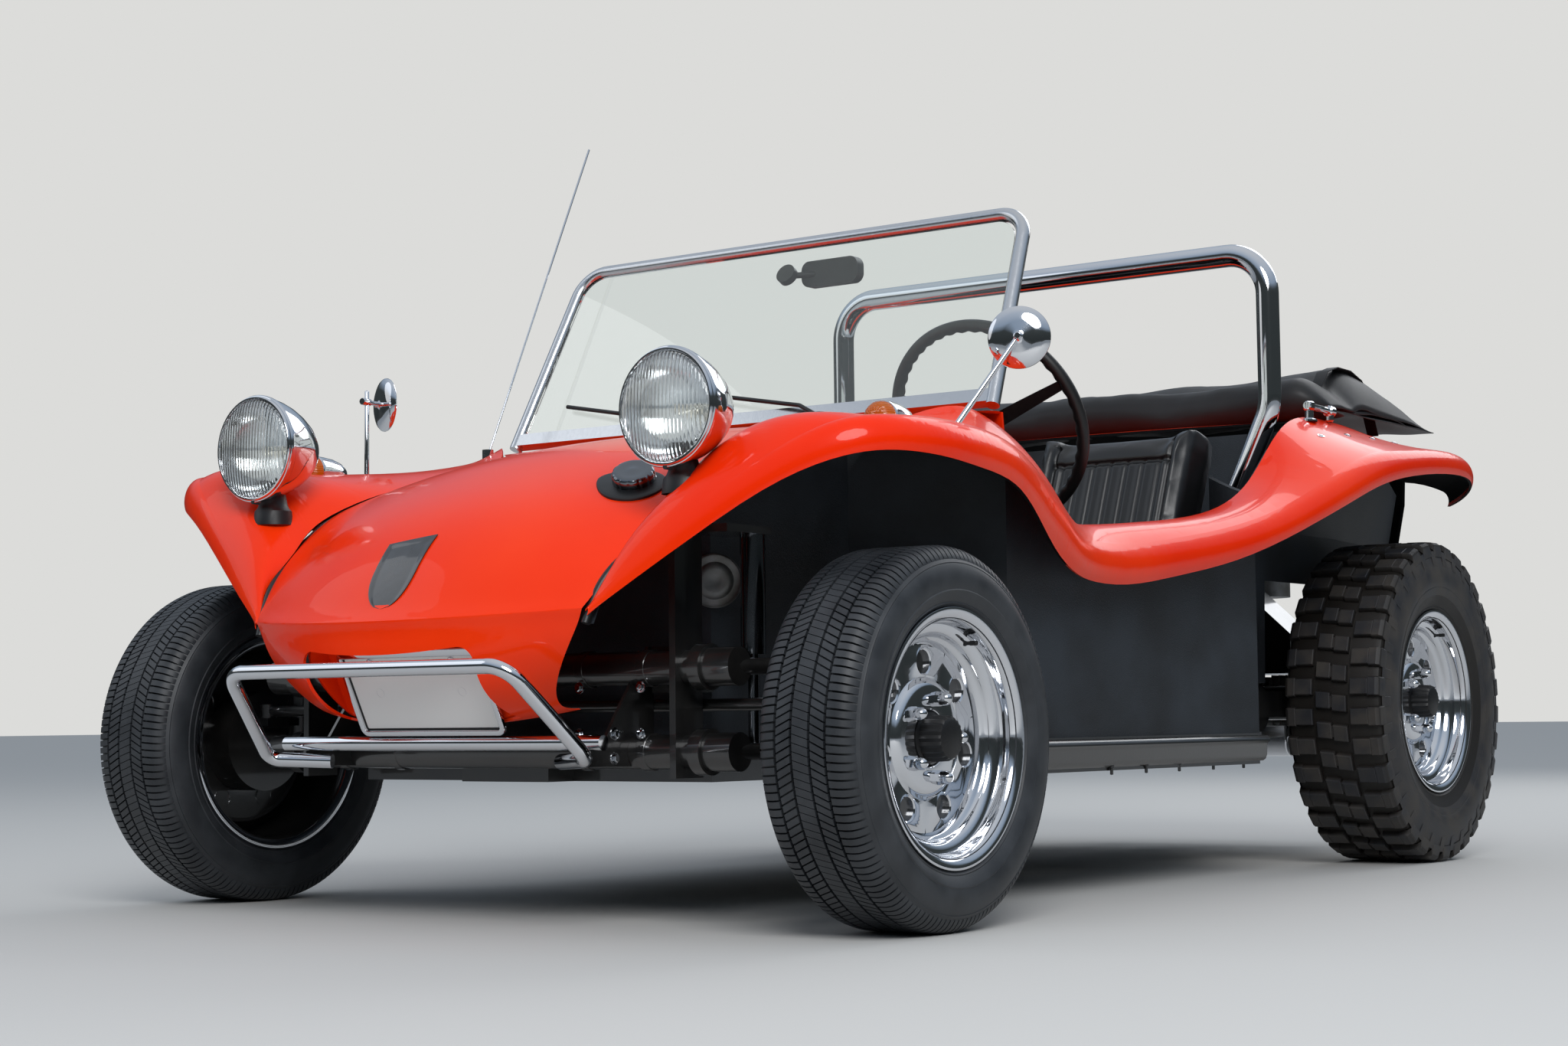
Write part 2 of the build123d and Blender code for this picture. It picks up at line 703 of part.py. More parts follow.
def make_headlights(body):
    """Round buckets with a rim, on short feet that follow the wing."""
    r, rim = headlight_radius, headlight_rim_depth
    profile = [
        Line((0, 0), (0, r)),
        Line((0, r), (rim, r)),
        Line((rim, r), (rim, r - 5)),
        dome(rim, headlight_depth, r - 5),
        Line((headlight_depth, 0), (0, 0)),
    ]
    bucket = turned(profile, at(headlight_x, headlight_y, headlight_z))
    foot = box_between(at(headlight_x - 19, headlight_y + 30, 640), at(headlight_x + 19, headlight_y + 62, headlight_z - 60))
    return both_sides(seated(bucket + foot, body))


def make_lenses():
    """The domed glasses in front of the buckets."""
    profile = [
        Line((-0.3, 0), (-0.3, lens_radius)),
        Line((-0.3, lens_radius), (-2, lens_radius)),
        dome(-2, -2 - lens_bulge, lens_radius),
        Line((-2 - lens_bulge, 0), (-0.3, 0)),
    ]
    return both_sides(turned(profile, at(headlight_x, headlight_y, headlight_z)))


def make_steering_wheel():
    """Rim, three spokes and hub, made flat and turned to the column's angle."""
    rim = Solid.make_torus(steering_rim_radius, steering_grip_radius)
    hub = Pos(0, 0, -20) * Cylinder(28, 50)
    wheel = rim + hub
    for angle in (90, 210, 330):
        arm = box_between((20, -13, -6), (steering_rim_radius, 13, 0))
        wheel += arm.rotate(Axis.Z, angle)
    leaned = wheel.rotate(Axis.X, -(90 - column_angle))
    return leaned.moved(Location(at(column_x, wheel_hub_y, wheel_hub_z)))


def make_column():
    """The steering column with its box behind the beam's upper tube."""
    column = rod([column_point(46), column_point(column_length())], column_radius, 0)
    foot = column_point(column_length())
    front = front_axle_y + beam_y + beam_tube_radius + 0.3
    box = box_between((foot.X - 38, front, foot.Z - 32), (foot.X + 38, foot.Y + 28, foot.Z + 40))
    return column + box


def rod_y(radius, y_from, y_to, x, z):
    """A cylinder along Y between two planes behind the rear axle."""
    return rod([Vector(x, rear_axle_y + y_from, z), Vector(x, rear_axle_y + y_to, z)], radius, 0)


def upright(radius, z_from, z_to, x, y):
    """A cylinder along Z, placed behind the rear axle."""
    return Pos(x, rear_axle_y + y, (z_from + z_to) / 2) * Cylinder(radius, z_to - z_from)


def slab_y(outline, y_from, y_to):
    """An outline in X and Z, extruded rearwards between two planes behind the rear axle."""
    face = make_face(Polyline(*[Vector(x, rear_axle_y + y_from, z) for x, z in outline], close=True))
    return extrude(face, y_to - y_from, dir=(0, 1, 0))


def bank_start(side):
    """How far behind the axle a bank's front barrel is: the right bank sits further back."""
    return case_front + 66 + (bank_stagger if side < 0 else 0)


def make_bank(side):
    """Two finned barrels with their push-rod tubes, the head and its valve cover."""
    front = bank_start(side)
    middle = rear_axle_y + front + barrel_spacing / 2
    bank = Pos(side * (head_inner_x + head_outer_x) / 2, middle, crank_z) * Box(
        head_outer_x - head_inner_x, barrel_spacing + 116, head_height - 12)
    for x in (head_inner_x + 10, head_inner_x + 28, head_inner_x + 46, head_inner_x + 64):
        bank += Pos(side * x, middle, crank_z) * Box(fin_thickness, barrel_spacing + 128, head_height)
    cover = Pos(side * (head_outer_x + valve_cover_depth / 2), middle, crank_z) * Box(
        valve_cover_depth + 1, barrel_spacing + 106, 84)
    bank += chamfer(cover.faces().sort_by(Axis.X)[-1 if side > 0 else 0].edges(), 15)
    first_fin = case_half_width + 9
    fin_pitch = (head_inner_x - 8 - first_fin) / (fin_count - 1)
    for back in (front, front + barrel_spacing):
        y = rear_axle_y + back
        bank += cylinder_x(barrel_radius, *sorted((side * (case_half_width - 2), side * (head_inner_x + 2))), y, crank_z)
        for k in range(fin_count):
            plane = Plane(Vector(side * (first_fin + k * fin_pitch), y, crank_z), x_dir=(0, 1, 0), z_dir=(1, 0, 0))
            bank += extrude(plane * RegularPolygon(fin_radius, 8, rotation=22.5), fin_thickness / 2, both=True)
        for shift in (-24, 24):
            ends = sorted((side * (case_half_width - 14), side * (head_inner_x + 4)))
            bank += cylinder_x(10, *ends, y + shift, crank_z - 51)
    return bank


def make_pulley(radius, z):
    """A belt pulley: two cheeks and the groove's root."""
    core = radius - belt_thickness - 1
    pulley = rod_y(core, pulley_y, pulley_y + pulley_width, 0, z)
    for start in (pulley_y, pulley_y + pulley_width - 4):
        pulley += rod_y(radius, start, start + 4, 0, z)
    return pulley


def make_belt():
    """The fan belt round both pulleys."""
    plane = Plane(Vector(0, rear_axle_y + pulley_y + 5, crank_z), x_dir=(1, 0, 0), z_dir=(0, -1, 0))
    rings = []
    for inset in (2, 2 + belt_thickness):
        circles = [CenterArc((0, 0), crank_pulley_radius - inset, 0, 360)]
        circles += [CenterArc((0, generator_z - crank_z), generator_pulley_radius - inset, 0, 360)]
        rings.append(make_hull(circles))
    return extrude(plane * (rings[0] - rings[1]), -(pulley_width - 10))


def make_manifold():
    """The inlet pipe from head to head, over the case."""
    y = rear_axle_y + manifold_y
    run = manifold_x - 100
    pipe = cylinder_x(manifold_radius, -run, run, y, manifold_z)
    for side in (1, -1):
        elbow = [(manifold_x, tin_z - 10), (manifold_x, manifold_z), (run - 1, manifold_z)]
        pipe += rod([Vector(side * x, y, z) for x, z in elbow], manifold_radius, 34)
    return pipe


def make_engine():
    """The open flat-four: case, finned banks, generator, belt drive, carburettor and ignition."""
    back = case_front + case_length
    half = [(92, 236), (118, 252), (118, 296), (case_half_width, 306), (case_half_width, 398), (112, 412),
            (84, 438), (62, case_top_z)]
    engine = slab_y(half + [(-x, z) for x, z in reversed(half)], case_front, back)
    for k in range(6):
        engine += slab_y([(-88, 228), (88, 228), (88, 238), (-88, 238)], 208 + k * 40, 212 + k * 40)
    engine += make_bank(1) + make_bank(-1)
    # Generator on its stand, and the belt drive
    stand = [(-44, case_top_z - 2), (44, case_top_z - 2), (30, 500), (34, 566), (-34, 566), (-30, 500)]
    engine += slab_y(stand, 384, 446)
    generator_start = shroud_front + shroud_depth + 6.3
    generator_end = generator_start + generator_length - 12
    engine += rod_y(generator_radius, generator_start, generator_end, 0, generator_z)
    engine += rod_y(generator_radius - 12, generator_end - 1, pulley_y + 1, 0, generator_z)
    engine += rod_y(24, back - 1, pulley_y + 1, 0, crank_z)
    engine += make_pulley(crank_pulley_radius, crank_z) + make_pulley(generator_pulley_radius, generator_z)
    engine += make_belt()
    # Turned pieces that stand on the case or the manifold: x, y, radius, low z, high z
    stands = [
        (135, manifold_y, 30, manifold_z, 498),
        (135, manifold_y, 24, 496, 602),
        (135, manifold_y + 42, 75, 600, 652),
        (135, manifold_y + 42, 58, 650, 660),
        (70, 436, 19, 425, 506),
        (70, 436, 30, 504, 544),
        (-78, 424, 24, 430, 540),
        (-78, 424, 31, 538, 552),
    ]
    for x, y, radius, low, high in stands:
        engine += upright(radius, low, high, x, y)
    engine += box_between((150, rear_axle_y + manifold_y - 28, 512), (190, rear_axle_y + manifold_y + 28, 570))
    for x, y in ((56, 422), (84, 422), (84, 450), (56, 450)):
        engine += upright(6, 542, 560, x, y)
    return engine + make_manifold()


def make_fan_shroud():
    """The upright cooling housing with its fan inlet, and the tin over both banks."""
    rear = shroud_front + shroud_depth
    tangent = math.radians(32)
    side = (fan_radius * math.cos(tangent), fan_z + fan_radius * math.sin(tangent))
    plane = Plane(Vector(0, rear_axle_y + shroud_front, 0), x_dir=(1, 0, 0), z_dir=(0, -1, 0))
    foot, shoulder = (shroud_half_width, tin_z), (shroud_half_width, 505)
    edges = [
        Line(foot, shoulder),
        Line(shoulder, side),
        ThreePointArc(side, (0, fan_z + fan_radius), (-side[0], side[1])),
        Line((-side[0], side[1]), (-shoulder[0], shoulder[1])),
        Line((-shoulder[0], shoulder[1]), (-foot[0], foot[1])),
        Line((-foot[0], foot[1]), foot),
    ]
    shroud = extrude(plane * make_face(edges), -shroud_depth)
    shroud += rod_y(88, rear - 1, rear + 6, 0, generator_z - 8)
    shroud -= rod_y(fan_inlet_radius, shroud_front - 1, shroud_front + 46, 0, fan_z)
    shroud += rod_y(fan_inlet_radius * 0.55, shroud_front + 6, shroud_front + 47, 0, fan_z)
    shroud -= slab_y([(x, z) for x, z in ((-138, 400), (138, 400), (138, case_top_z + 0.4), (-138, case_top_z + 0.4))],
                     shroud_front - 1, rear + 1)
    for side in (1, -1):
        start = bank_start(side) - 60
        tin = [(139, tin_z), (head_outer_x, tin_z), (head_outer_x + 8, tin_z - 14)]
        sheet = tin + [(x + tin_thickness, z + tin_thickness) for x, z in reversed(tin)]
        shroud += slab_y([(side * x, z) for x, z in sheet], start, start + barrel_spacing + 120)
        shroud -= upright(manifold_radius + 0.8, tin_z - 5, tin_z + 60, side * manifold_x, manifold_y)
    return shroud


def turned_y(profile, z):
    """Axial places behind the rear axle with radii, turned about a line along Y."""
    points = [(y, radius) for y, radius in profile] + [(profile[-1][0], 0), (profile[0][0], 0)]
    solid = revolve(make_face(Polyline(*points, close=True)), Axis.X)
    return solid.rotate(Axis.Z, 90).moved(Location((0, rear_axle_y, z)))


def make_gearbox():
    """Nose, gear case, final drive with its side covers, and the bell housing."""
    case = turned_y([(-316, 42), (-304, 54), (-212, 64), (-206, 88), (-192, 88), (-188, 80), (-60, 90), (60, 94)],
                    crank_z - 14)
    bell = turned_y([(44, 88), (112, 104), (168, 146), (case_front - 0.3, 146)], crank_z)
    drive = cylinder_x(104, -tunnel_half_width + 0.1, tunnel_half_width - 0.1, rear_axle_y, rear_tyre_radius)
    gearbox = case + bell + drive
    for k in range(6):
        turn = 60 * k
        rib = box_between((-2, rear_axle_y - 190, 60), (2, rear_axle_y - 60, 91))
        gearbox += rib.rotate(Axis.Y, turn).moved(Location((0, 0, crank_z - 14)))
    return gearbox


def make_rear_axle():
    """Swing-axle tubes with boots and back plates, the torsion housing and its spring plates."""
    y = rear_axle_y
    end = rear_track / 2 + rear_rim_width / 2 - disc_inset - rim_sheet - drum_width - axle_gap
    plate_x = 511.0
    solid = cylinder_x(torsion_radius, -plate_x - 1, plate_x + 1, front_axle_y + torsion_y, 330)
    for side in (1, -1):
        # Turned lengths along a tube: inner x, outer x, radius
        lengths = [(tunnel_half_width + 0.4, end, 38), (plate_x + 8, plate_x + 42, 58), (end - 7, end, drum_radius * 0.78)]
        lengths += [(104 + 18 * k, 113 + 18 * k, 60 - 3 * k) for k in range(5)]
        for inner, outer, radius in lengths:
            solid += cylinder_x(radius, *sorted((side * inner, side * outer)), y, rear_tyre_radius)
        x = sorted((side * plate_x, side * (plate_x + 9)))
        arm = box_between((x[0], front_axle_y + torsion_y - 40, 312), (x[1], y + 52, 366))
        solid += chamfer(arm.edges().filter_by(Axis.X), 12)
    return solid


def make_exhaust():
    """A cross silencer fed by four headers, with two tail pipes."""
    y = rear_axle_y
    box = cylinder_x(silencer_radius, -silencer_half_length, silencer_half_length, y + silencer_y, silencer_z)
    for x in (-60, 60):
        tip = Vector(x, y + rear_overhang, 240)
        box += rod([Vector(x, y + silencer_y, 240), tip], pipe_radius, 0)
        box -= rod([tip - Vector(0, pipe_bore_length, 0), tip + Vector(0, 10, 0)], pipe_bore_radius, 0)
    port_z = crank_z - head_height / 2 - 0.3
    # Header routes from a head's port: x, behind the axle, z
    rear = [(285, 404, port_z), (285, 404, 262), (285, 540, 262)]
    front = [(300, 236, port_z), (300, 236, 235), (210, 548, 244)]
    for route, bend in ((rear, 24), (front, 30)):
        for side in (1, -1):
            box += rod([Vector(side * x, y + back, z) for x, back, z in route], header_radius, bend)
    return box


seat_x = 294.0
seat_width = 390.0
seat_z = 430.0
seat_back_height = 480.0
seat_lean = 22.0


def make_seats():
    """Two low-back seats, each a cushion and a leaning back."""
    cushions = []
    backs = []
    for side in (1, -1):
        x = side * seat_x
        cushion = box_between((x - seat_width / 2, front_axle_y + 870, pan_z + pan_thickness + 0.3),
                              (x + seat_width / 2, front_axle_y + 1372, seat_z))
        cushions.append(fillet(cushion.edges().filter_by(Axis.Z), 30))
        back = box_between((-seat_width / 2, -55, 0), (seat_width / 2, 55, seat_back_height))
        back = fillet(back.edges().filter_by(Axis.Z), 30)
        back = back.rotate(Axis.X, -seat_lean).moved(Location(at(x, 1320, seat_z + 20.9)))
        backs.append(back)
    return cushions, backs


def make_soft_top():
    """The folded top lying across the deck, highest at its front roll."""
    section = [(1760, 959.8), (1752, 1010), (1775, 1060), (1850, 1082), (2100, 1078), (2400, 1010), (2430, 970),
               (2300, 952)]
    points = [at(-600, y, z) for y, z in section]
    return extrude(make_face(Polyline(*points, close=True)), 1200, dir=(1, 0, 0))


def make_mirrors(body):
    """Round mirrors on stalks, one each side."""
    foot = at(665, 235, 783)
    head = at(728, 335, 938)
    stalk = rod([foot - (head - foot) * 0.2, head], 5, 0)
    disc = Pos(*(head + Vector(0, 6, 0))) * Cylinder(52, 14, rotation=(90, 0, 0))
    base = Pos(*foot) * Cylinder(13, 40)
    base -= box_between((foot.X - 20, foot.Y - 20, foot.Z + 4), (foot.X + 20, foot.Y + 20, foot.Z + 40))
    return both_sides(seated(stalk + base + disc, body))


def make_turn_signals(body):
    """Bullet lamps on the wing tops, amber in front."""
    radius = 26
    profile = [Line((0, 0), (0, radius)), Line((0, radius), (46, radius)), dome(46, 46 + radius, radius),
               Line((46 + radius, 0), (0, 0))]
    lamp = turned(profile, at(620, 30, 803))
    foot = box_between(at(606, 44, 740), at(634, 80, 790))
    return both_sides(seated(lamp + foot, body))


def make_filler_cap(hood):
    """The fuel filler on its oval pad beside the headlight."""
    normal = Vector(0.28, -0.55, 0.79)
    plane = Plane(at(300, -128, 686), x_dir=Vector(0.94, 0, -0.333), z_dir=normal)
    pad = extrude(plane.offset(-30) * Ellipse(58, 46), 36)
    cap = extrude(plane * Circle(34), 34)
    return seated(pad + cap, hood)


def make_wipers():
    """Two arms with their blades along the foot of the glass."""
    solids = []
    lean = (screen_top[1] - screen_bottom[1]) / (screen_top[2] - screen_bottom[2])
    for pivot_x in (210, -110):
        tip_x, tip_z = pivot_x - 330, 938
        front = 14
        tip_y = screen_bottom[1] + (tip_z - screen_bottom[2]) * lean - front
        knee_z = 890
        knee_y = screen_bottom[1] + (knee_z - screen_bottom[2]) * lean - front - 12
        pivot = at(pivot_x, 505, 862)
        arm = Pos(*pivot) * Cylinder(9, 18)
        arm += rod([pivot, at(pivot_x - 60, knee_y, knee_z), at(tip_x, tip_y, tip_z)], 4, 20)
        solids.append(arm)
    return solids


def make_antenna(body):
    """A whip aerial on the right of the cowl, leaning back from its ball foot."""
    foot = at(540, 440, 838)
    whip = rod([foot, at(540, 748, 1500)], 2, 0)
    ball = Pos(*foot) * Cylinder(11, 24)
    return mirror(seated(whip + ball, body), about=Plane.YZ)


def make_inner_mirror():
    """The interior mirror on its sucker, inside the glass."""
    lean = (screen_top[1] - screen_bottom[1]) / (screen_top[2] - screen_bottom[2])
    z = 1172
    y = screen_bottom[1] + (z - screen_bottom[2]) * lean
    disc = Plane(at(0, y + 4, z), z_dir=Vector(0, 1, -lean)) * Circle(20)
    sucker = extrude(disc, 14)
    body = box_between(at(20, y + 30, z - 28), at(150, y + 52, z + 22))
    body = fillet(body.edges().filter_by(Axis.Y), 18)
    arm = rod([at(0, y + 14, z - 4), at(50, y + 34, z - 4)], 6, 0)
    return sucker + body + arm


def make_tail_lamps():
    """Round lamps on the tail panel."""
    lamp = turned([Line((0, 0), (0, 38)), Line((0, 38), (14, 38)), dome(14, 22, 38), Line((22, 0), (0, 0))],
                  at(400, 2423.7, 742))
    return both_sides(lamp)


def make_pedals():
    """Three pedals standing on the floor ahead of the driver."""
    solids = []
    floor = pan_z + pan_thickness + 0.3
    for x in (150, 215, 275):
        arm = rod([at(x, 150, floor + 6), at(x, 185, floor + 190)], 6, 0)
        arm += Pos(*at(x, 190, floor + 190)) * Box(46, 10, 60)
        arm += box_between(at(x - 14, 132, floor), at(x + 14, 168, floor + 12))
        solids.append(arm)
    return solids


def make_controls():
    """The gear lever and the handbrake on the tunnel."""
    top = pan_z + tunnel_height
    lever = rod([at(0, 760, top + 8), at(0, 790, top + 230)], 7, 0)
    lever += Pos(*at(0, 791, top + 240)) * Sphere(22)
    lever += Pos(*at(0, 760, top + 8.3)) * Cylinder(30, 16)
    brake = rod([at(0, 1010, top + 30), at(0, 880, top + 110)], 10, 0)
    brake += box_between(at(-14, 985, top + 0.3), at(14, 1040, top + 45))
    return lever, brake


left_side = make_side()
hood = make_hood()
screen_frame, screen_glass = make_screen()
lever, handbrake = make_controls()
cushions, backs = make_seats()
road_tyre = make_tyre(front_tyre_radius, front_tyre_width, front_tread_width, front_rim_width, road_tyre_sides)
mud_tyre = make_mud_tyre()
front_x = front_track / 2
rear_x = rear_track / 2

parts = {
    "floorpan": make_floorpan(),
    "tub": make_tub(),
    "body_side_left": left_side,
    "body_side_right": mirror(left_side, about=Plane.YZ),
    "hood": hood,
    "rear_deck": arched_panel(deck_rows, ruled=True),
    "dashboard": make_dashboard(),
    "windscreen_frame": screen_frame,
    "windscreen_glass": screen_glass,
    "roll_bar": make_roll_bar(),
    "front_bumper": make_bumper(),
    "bumper_brackets": make_brackets(),
    "headlights": make_headlights(left_side),
    "headlight_lenses": make_lenses(),
    "turn_signals": make_turn_signals(left_side),
    "tail_lamps": make_tail_lamps(),
    "number_plate": make_number_plate(),
    "mirrors": make_mirrors(left_side),
    "inner_mirror": make_inner_mirror(),
    "filler_cap": make_filler_cap(hood),
    "wipers": make_wipers(),
    "antenna": make_antenna(left_side),
    "pedals": make_pedals(),
    "front_beam": make_beam(),
    "trailing_arms": make_trailing_arms(),
    "kingpin_carriers": make_kingpin_carriers(),
    "front_shocks": make_shocks(),
    "steering_column": make_column(),
    "steering_wheel": make_steering_wheel(),
    "tie_rods": make_tie_rods(),
    "knuckle_left": make_knuckle(1),
    "knuckle_right": make_knuckle(-1),
    "gearbox": make_gearbox(),
    "rear_axle": make_rear_axle(),
    "engine": make_engine(),
    "fan_shroud": make_fan_shroud(),
    "exhaust": make_exhaust(),
    "seat_cushions": cushions,
    "seat_backs": backs,
    "soft_top": make_soft_top(),
    "gear_lever": lever,
    "handbrake": handbrake,
}
for name, side in (("left", 1), ("right", -1)):
    parts["tyre_front_" + name] = road_tyre.moved(Location((side * front_x, front_axle_y, front_tyre_radius)))
    parts["tyre_rear_" + name] = mud_tyre.moved(Location((side * rear_x, rear_axle_y, rear_tyre_radius)))
    parts["rim_front_" + name] = make_rim(side * front_x, front_axle_y, front_tyre_radius, front_rim_width, side)
    parts["rim_rear_" + name] = make_rim(side * rear_x, rear_axle_y, rear_tyre_radius, rear_rim_width, side)

os.makedirs("parts", exist_ok=True)
for name, shape in parts.items():
    if isinstance(shape, list):
        shape = Compound(children=shape)
    export_step(shape, "parts/" + name + ".step")
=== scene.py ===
import math

import bmesh
import bpy
from mathutils import Matrix, Vector, noise
from mathutils.bvhtree import BVHTree


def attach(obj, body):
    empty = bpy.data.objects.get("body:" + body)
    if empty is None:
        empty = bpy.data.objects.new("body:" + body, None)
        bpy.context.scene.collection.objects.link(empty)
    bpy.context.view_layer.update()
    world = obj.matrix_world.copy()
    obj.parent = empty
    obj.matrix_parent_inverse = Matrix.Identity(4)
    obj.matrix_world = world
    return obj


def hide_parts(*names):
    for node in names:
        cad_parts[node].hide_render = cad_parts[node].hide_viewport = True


# Open two-seat buggy. The car faces -Y, its left side is +X and the floor is z = 0, all in metres.

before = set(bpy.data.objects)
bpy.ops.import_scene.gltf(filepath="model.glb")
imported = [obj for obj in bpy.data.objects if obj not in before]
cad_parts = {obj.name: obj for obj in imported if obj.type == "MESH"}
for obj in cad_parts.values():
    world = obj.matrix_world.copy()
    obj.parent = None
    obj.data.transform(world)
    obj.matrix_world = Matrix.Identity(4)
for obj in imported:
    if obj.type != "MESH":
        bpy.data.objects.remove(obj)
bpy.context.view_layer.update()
print("frame loaded")

frontAxle = Vector((0, -1.114, 0.289))
rearAxle = Vector((0, 0.918, 0.343))
pi = math.pi
sides = (("left", 1), ("right", -1))
rearwards = (0, 1, 0)
forwards = (0, -1, 0)
upwards = (0, 0, 1)
downwards = (0, 0, -1)


def at(x, station, z):
    # stations are measured rearwards from the front axle
    return Vector((x, frontAxle.y + station, z))


def mirrored(point, side):
    return Vector((side * point.x, point.y, point.z))


def linked(name, data):
    thing = bpy.data.objects.new(name, data)
    bpy.context.scene.collection.objects.link(thing)
    return thing


# camera
cameraView = {
    "place": Vector((2.8305, -4.3169, 0.3231)),
    "yaw": 36.09,
    "pitch": 4.38,
    "roll": -0.60,
    "lens": 58.14,
}


def makeCamera():
    data = bpy.data.cameras.new("camera")
    data.lens = cameraView["lens"]
    data.sensor_width = 36
    data.clip_end = 200
    camera = linked("camera", data)
    turn = Matrix.Rotation(math.radians(cameraView["yaw"]), 4, "Z")
    turn @= Matrix.Rotation(math.radians(90 + cameraView["pitch"]), 4, "X")
    turn @= Matrix.Rotation(math.radians(cameraView["roll"]), 4, "Z")
    camera.matrix_world = Matrix.Translation(cameraView["place"]) @ turn
    bpy.context.scene.camera = camera


makeCamera()
print("camera placed")


# materials
def hexColour(text):
    # an sRGB hex value as linear red, green, blue, alpha
    parts = [int(text[i:i + 2], 16) / 255 for i in (1, 3, 5)]
    return [c / 12.92 if c <= 0.04045 else ((c + 0.055) / 1.055) ** 2.4 for c in parts] + [1.0]


def addNode(tree, kind, links=None, **settings):
    # inputs are named by their socket, other settings by their attribute
    node = tree.nodes.new("ShaderNode" + kind)
    for key, value in settings.items():
        if hasattr(node, key):
            setattr(node, key, value)
        else:
            node.inputs[key.replace("_", " ")].default_value = value
    for socket, source in (links or {}).items():
        tree.links.new(source, node.inputs[socket])
    return node


def objectCoords(tree, scale=(1, 1, 1)):
    coords = addNode(tree, "TexCoord")
    return addNode(tree, "Mapping", {"Vector": coords.outputs["Object"]}, Scale=scale).outputs["Vector"]


def noiseFrom(tree, coords, scale, detail):
    return addNode(tree, "TexNoise", {"Vector": coords}, Scale=scale, Detail=detail).outputs["Fac"]


def mathOf(tree, operation, first, second=0.0):
    # the second value is a number or another socket
    if isinstance(second, float):
        node = addNode(tree, "Math", {0: first}, operation=operation)
        node.inputs[1].default_value = second
        return node.outputs[0]
    return addNode(tree, "Math", {0: first, 1: second}, operation=operation).outputs[0]


def bumpFrom(tree, shader, height, strength, distance):
    bump = addNode(tree, "Bump", {"Height": height}, Strength=strength, Distance=distance)
    tree.links.new(bump.outputs["Normal"], shader.inputs["Normal"])


def spreadOver(tree, socket, factor, low, high):
    spread = addNode(tree, "MapRange", {"Value": factor}, To_Min=low, To_Max=high)
    tree.links.new(spread.outputs["Result"], socket)


def tintBetween(tree, shader, factor, low, high):
    ramp = addNode(tree, "ValToRGB", {"Fac": factor})
    for stop, place, colour in zip(ramp.color_ramp.elements, (0.35, 0.65), (low, high)):
        stop.position = place
        stop.color = hexColour(colour)
    tree.links.new(ramp.outputs["Color"], shader.inputs["Base Color"])


def mixColour(tree, shader, factor, low=None, high=None):
    # the colour so far takes the end that is left open
    before = shader.inputs["Base Color"].links[0].from_socket
    mix = addNode(tree, "Mix", {0: factor}, data_type="RGBA")
    for socket, colour in ((6, low), (7, high)):
        if colour:
            mix.inputs[socket].default_value = hexColour(colour)
        else:
            tree.links.new(before, mix.inputs[socket])
    tree.links.new(mix.outputs[2], shader.inputs["Base Color"])


def shaderOf(material):
    return material.node_tree, material.node_tree.nodes["Principled BSDF"]


def makeSurface(name, colour, roughness, metallic=0.0, grain=None, stain=None, tint=None, spread=None,
                scale=(1, 1, 1), **extra):
    # grain is a noise's scale and detail, then its bump's strength and depth; stain is the scale and detail
    # of the noise that carries the tint and the spread of the roughness
    material = bpy.data.materials.new(name)
    material.use_nodes = True
    tree, shader = shaderOf(material)
    shader.inputs["Base Color"].default_value = hexColour(colour)
    shader.inputs["Roughness"].default_value = roughness
    shader.inputs["Metallic"].default_value = metallic
    for key, value in extra.items():
        shader.inputs[key.replace("_", " ")].default_value = value
    if grain:
        bumpFrom(tree, shader, noiseFrom(tree, objectCoords(tree, scale), *grain[:2]), *grain[2:])
    if stain:
        wear = noiseFrom(tree, objectCoords(tree, scale), *stain)
        if tint:
            tintBetween(tree, shader, wear, *tint)
        if spread:
            spreadOver(tree, shader.inputs["Roughness"], wear, *spread)
    return material


def innerFaces(tree):
    # 1 on the hidden side of a wing, away from the sills: faces that look down, or in towards the middle
    geometry = addNode(tree, "NewGeometry")
    normal = addNode(tree, "SeparateXYZ", {"Vector": geometry.outputs["Normal"]}).outputs
    place = addNode(tree, "SeparateXYZ", {"Vector": geometry.outputs["Position"]}).outputs
    sideways = mathOf(tree, "MULTIPLY", normal["X"], mathOf(tree, "SIGN", place["X"]))
    under = mathOf(tree, "MULTIPLY", mathOf(tree, "LESS_THAN", normal["Z"], -0.22),
                   mathOf(tree, "LESS_THAN", sideways, 0.45))
    walls = mathOf(tree, "MULTIPLY", mathOf(tree, "LESS_THAN", sideways, -0.2),
                   mathOf(tree, "LESS_THAN", normal["Z"], 0.1))
    span = mathOf(tree, "ABSOLUTE", mathOf(tree, "ADD", place["Y"], 0.13))
    return mathOf(tree, "MULTIPLY", mathOf(tree, "MAXIMUM", under, walls),
                  mathOf(tree, "GREATER_THAN", span, 0.46))


def innerDeck(tree):
    # 1 on the deck's ends and on its faces that look forwards or down
    geometry = addNode(tree, "NewGeometry")
    normal = addNode(tree, "SeparateXYZ", {"Vector": geometry.outputs["Normal"]}).outputs
    hidden = mathOf(tree, "MAXIMUM", mathOf(tree, "LESS_THAN", normal["Y"], -0.5),
                    mathOf(tree, "LESS_THAN", normal["Z"], -0.35))
    ends = mathOf(tree, "GREATER_THAN", mathOf(tree, "ABSOLUTE", normal["X"]), 0.9)
    return mathOf(tree, "MAXIMUM", hidden, ends)


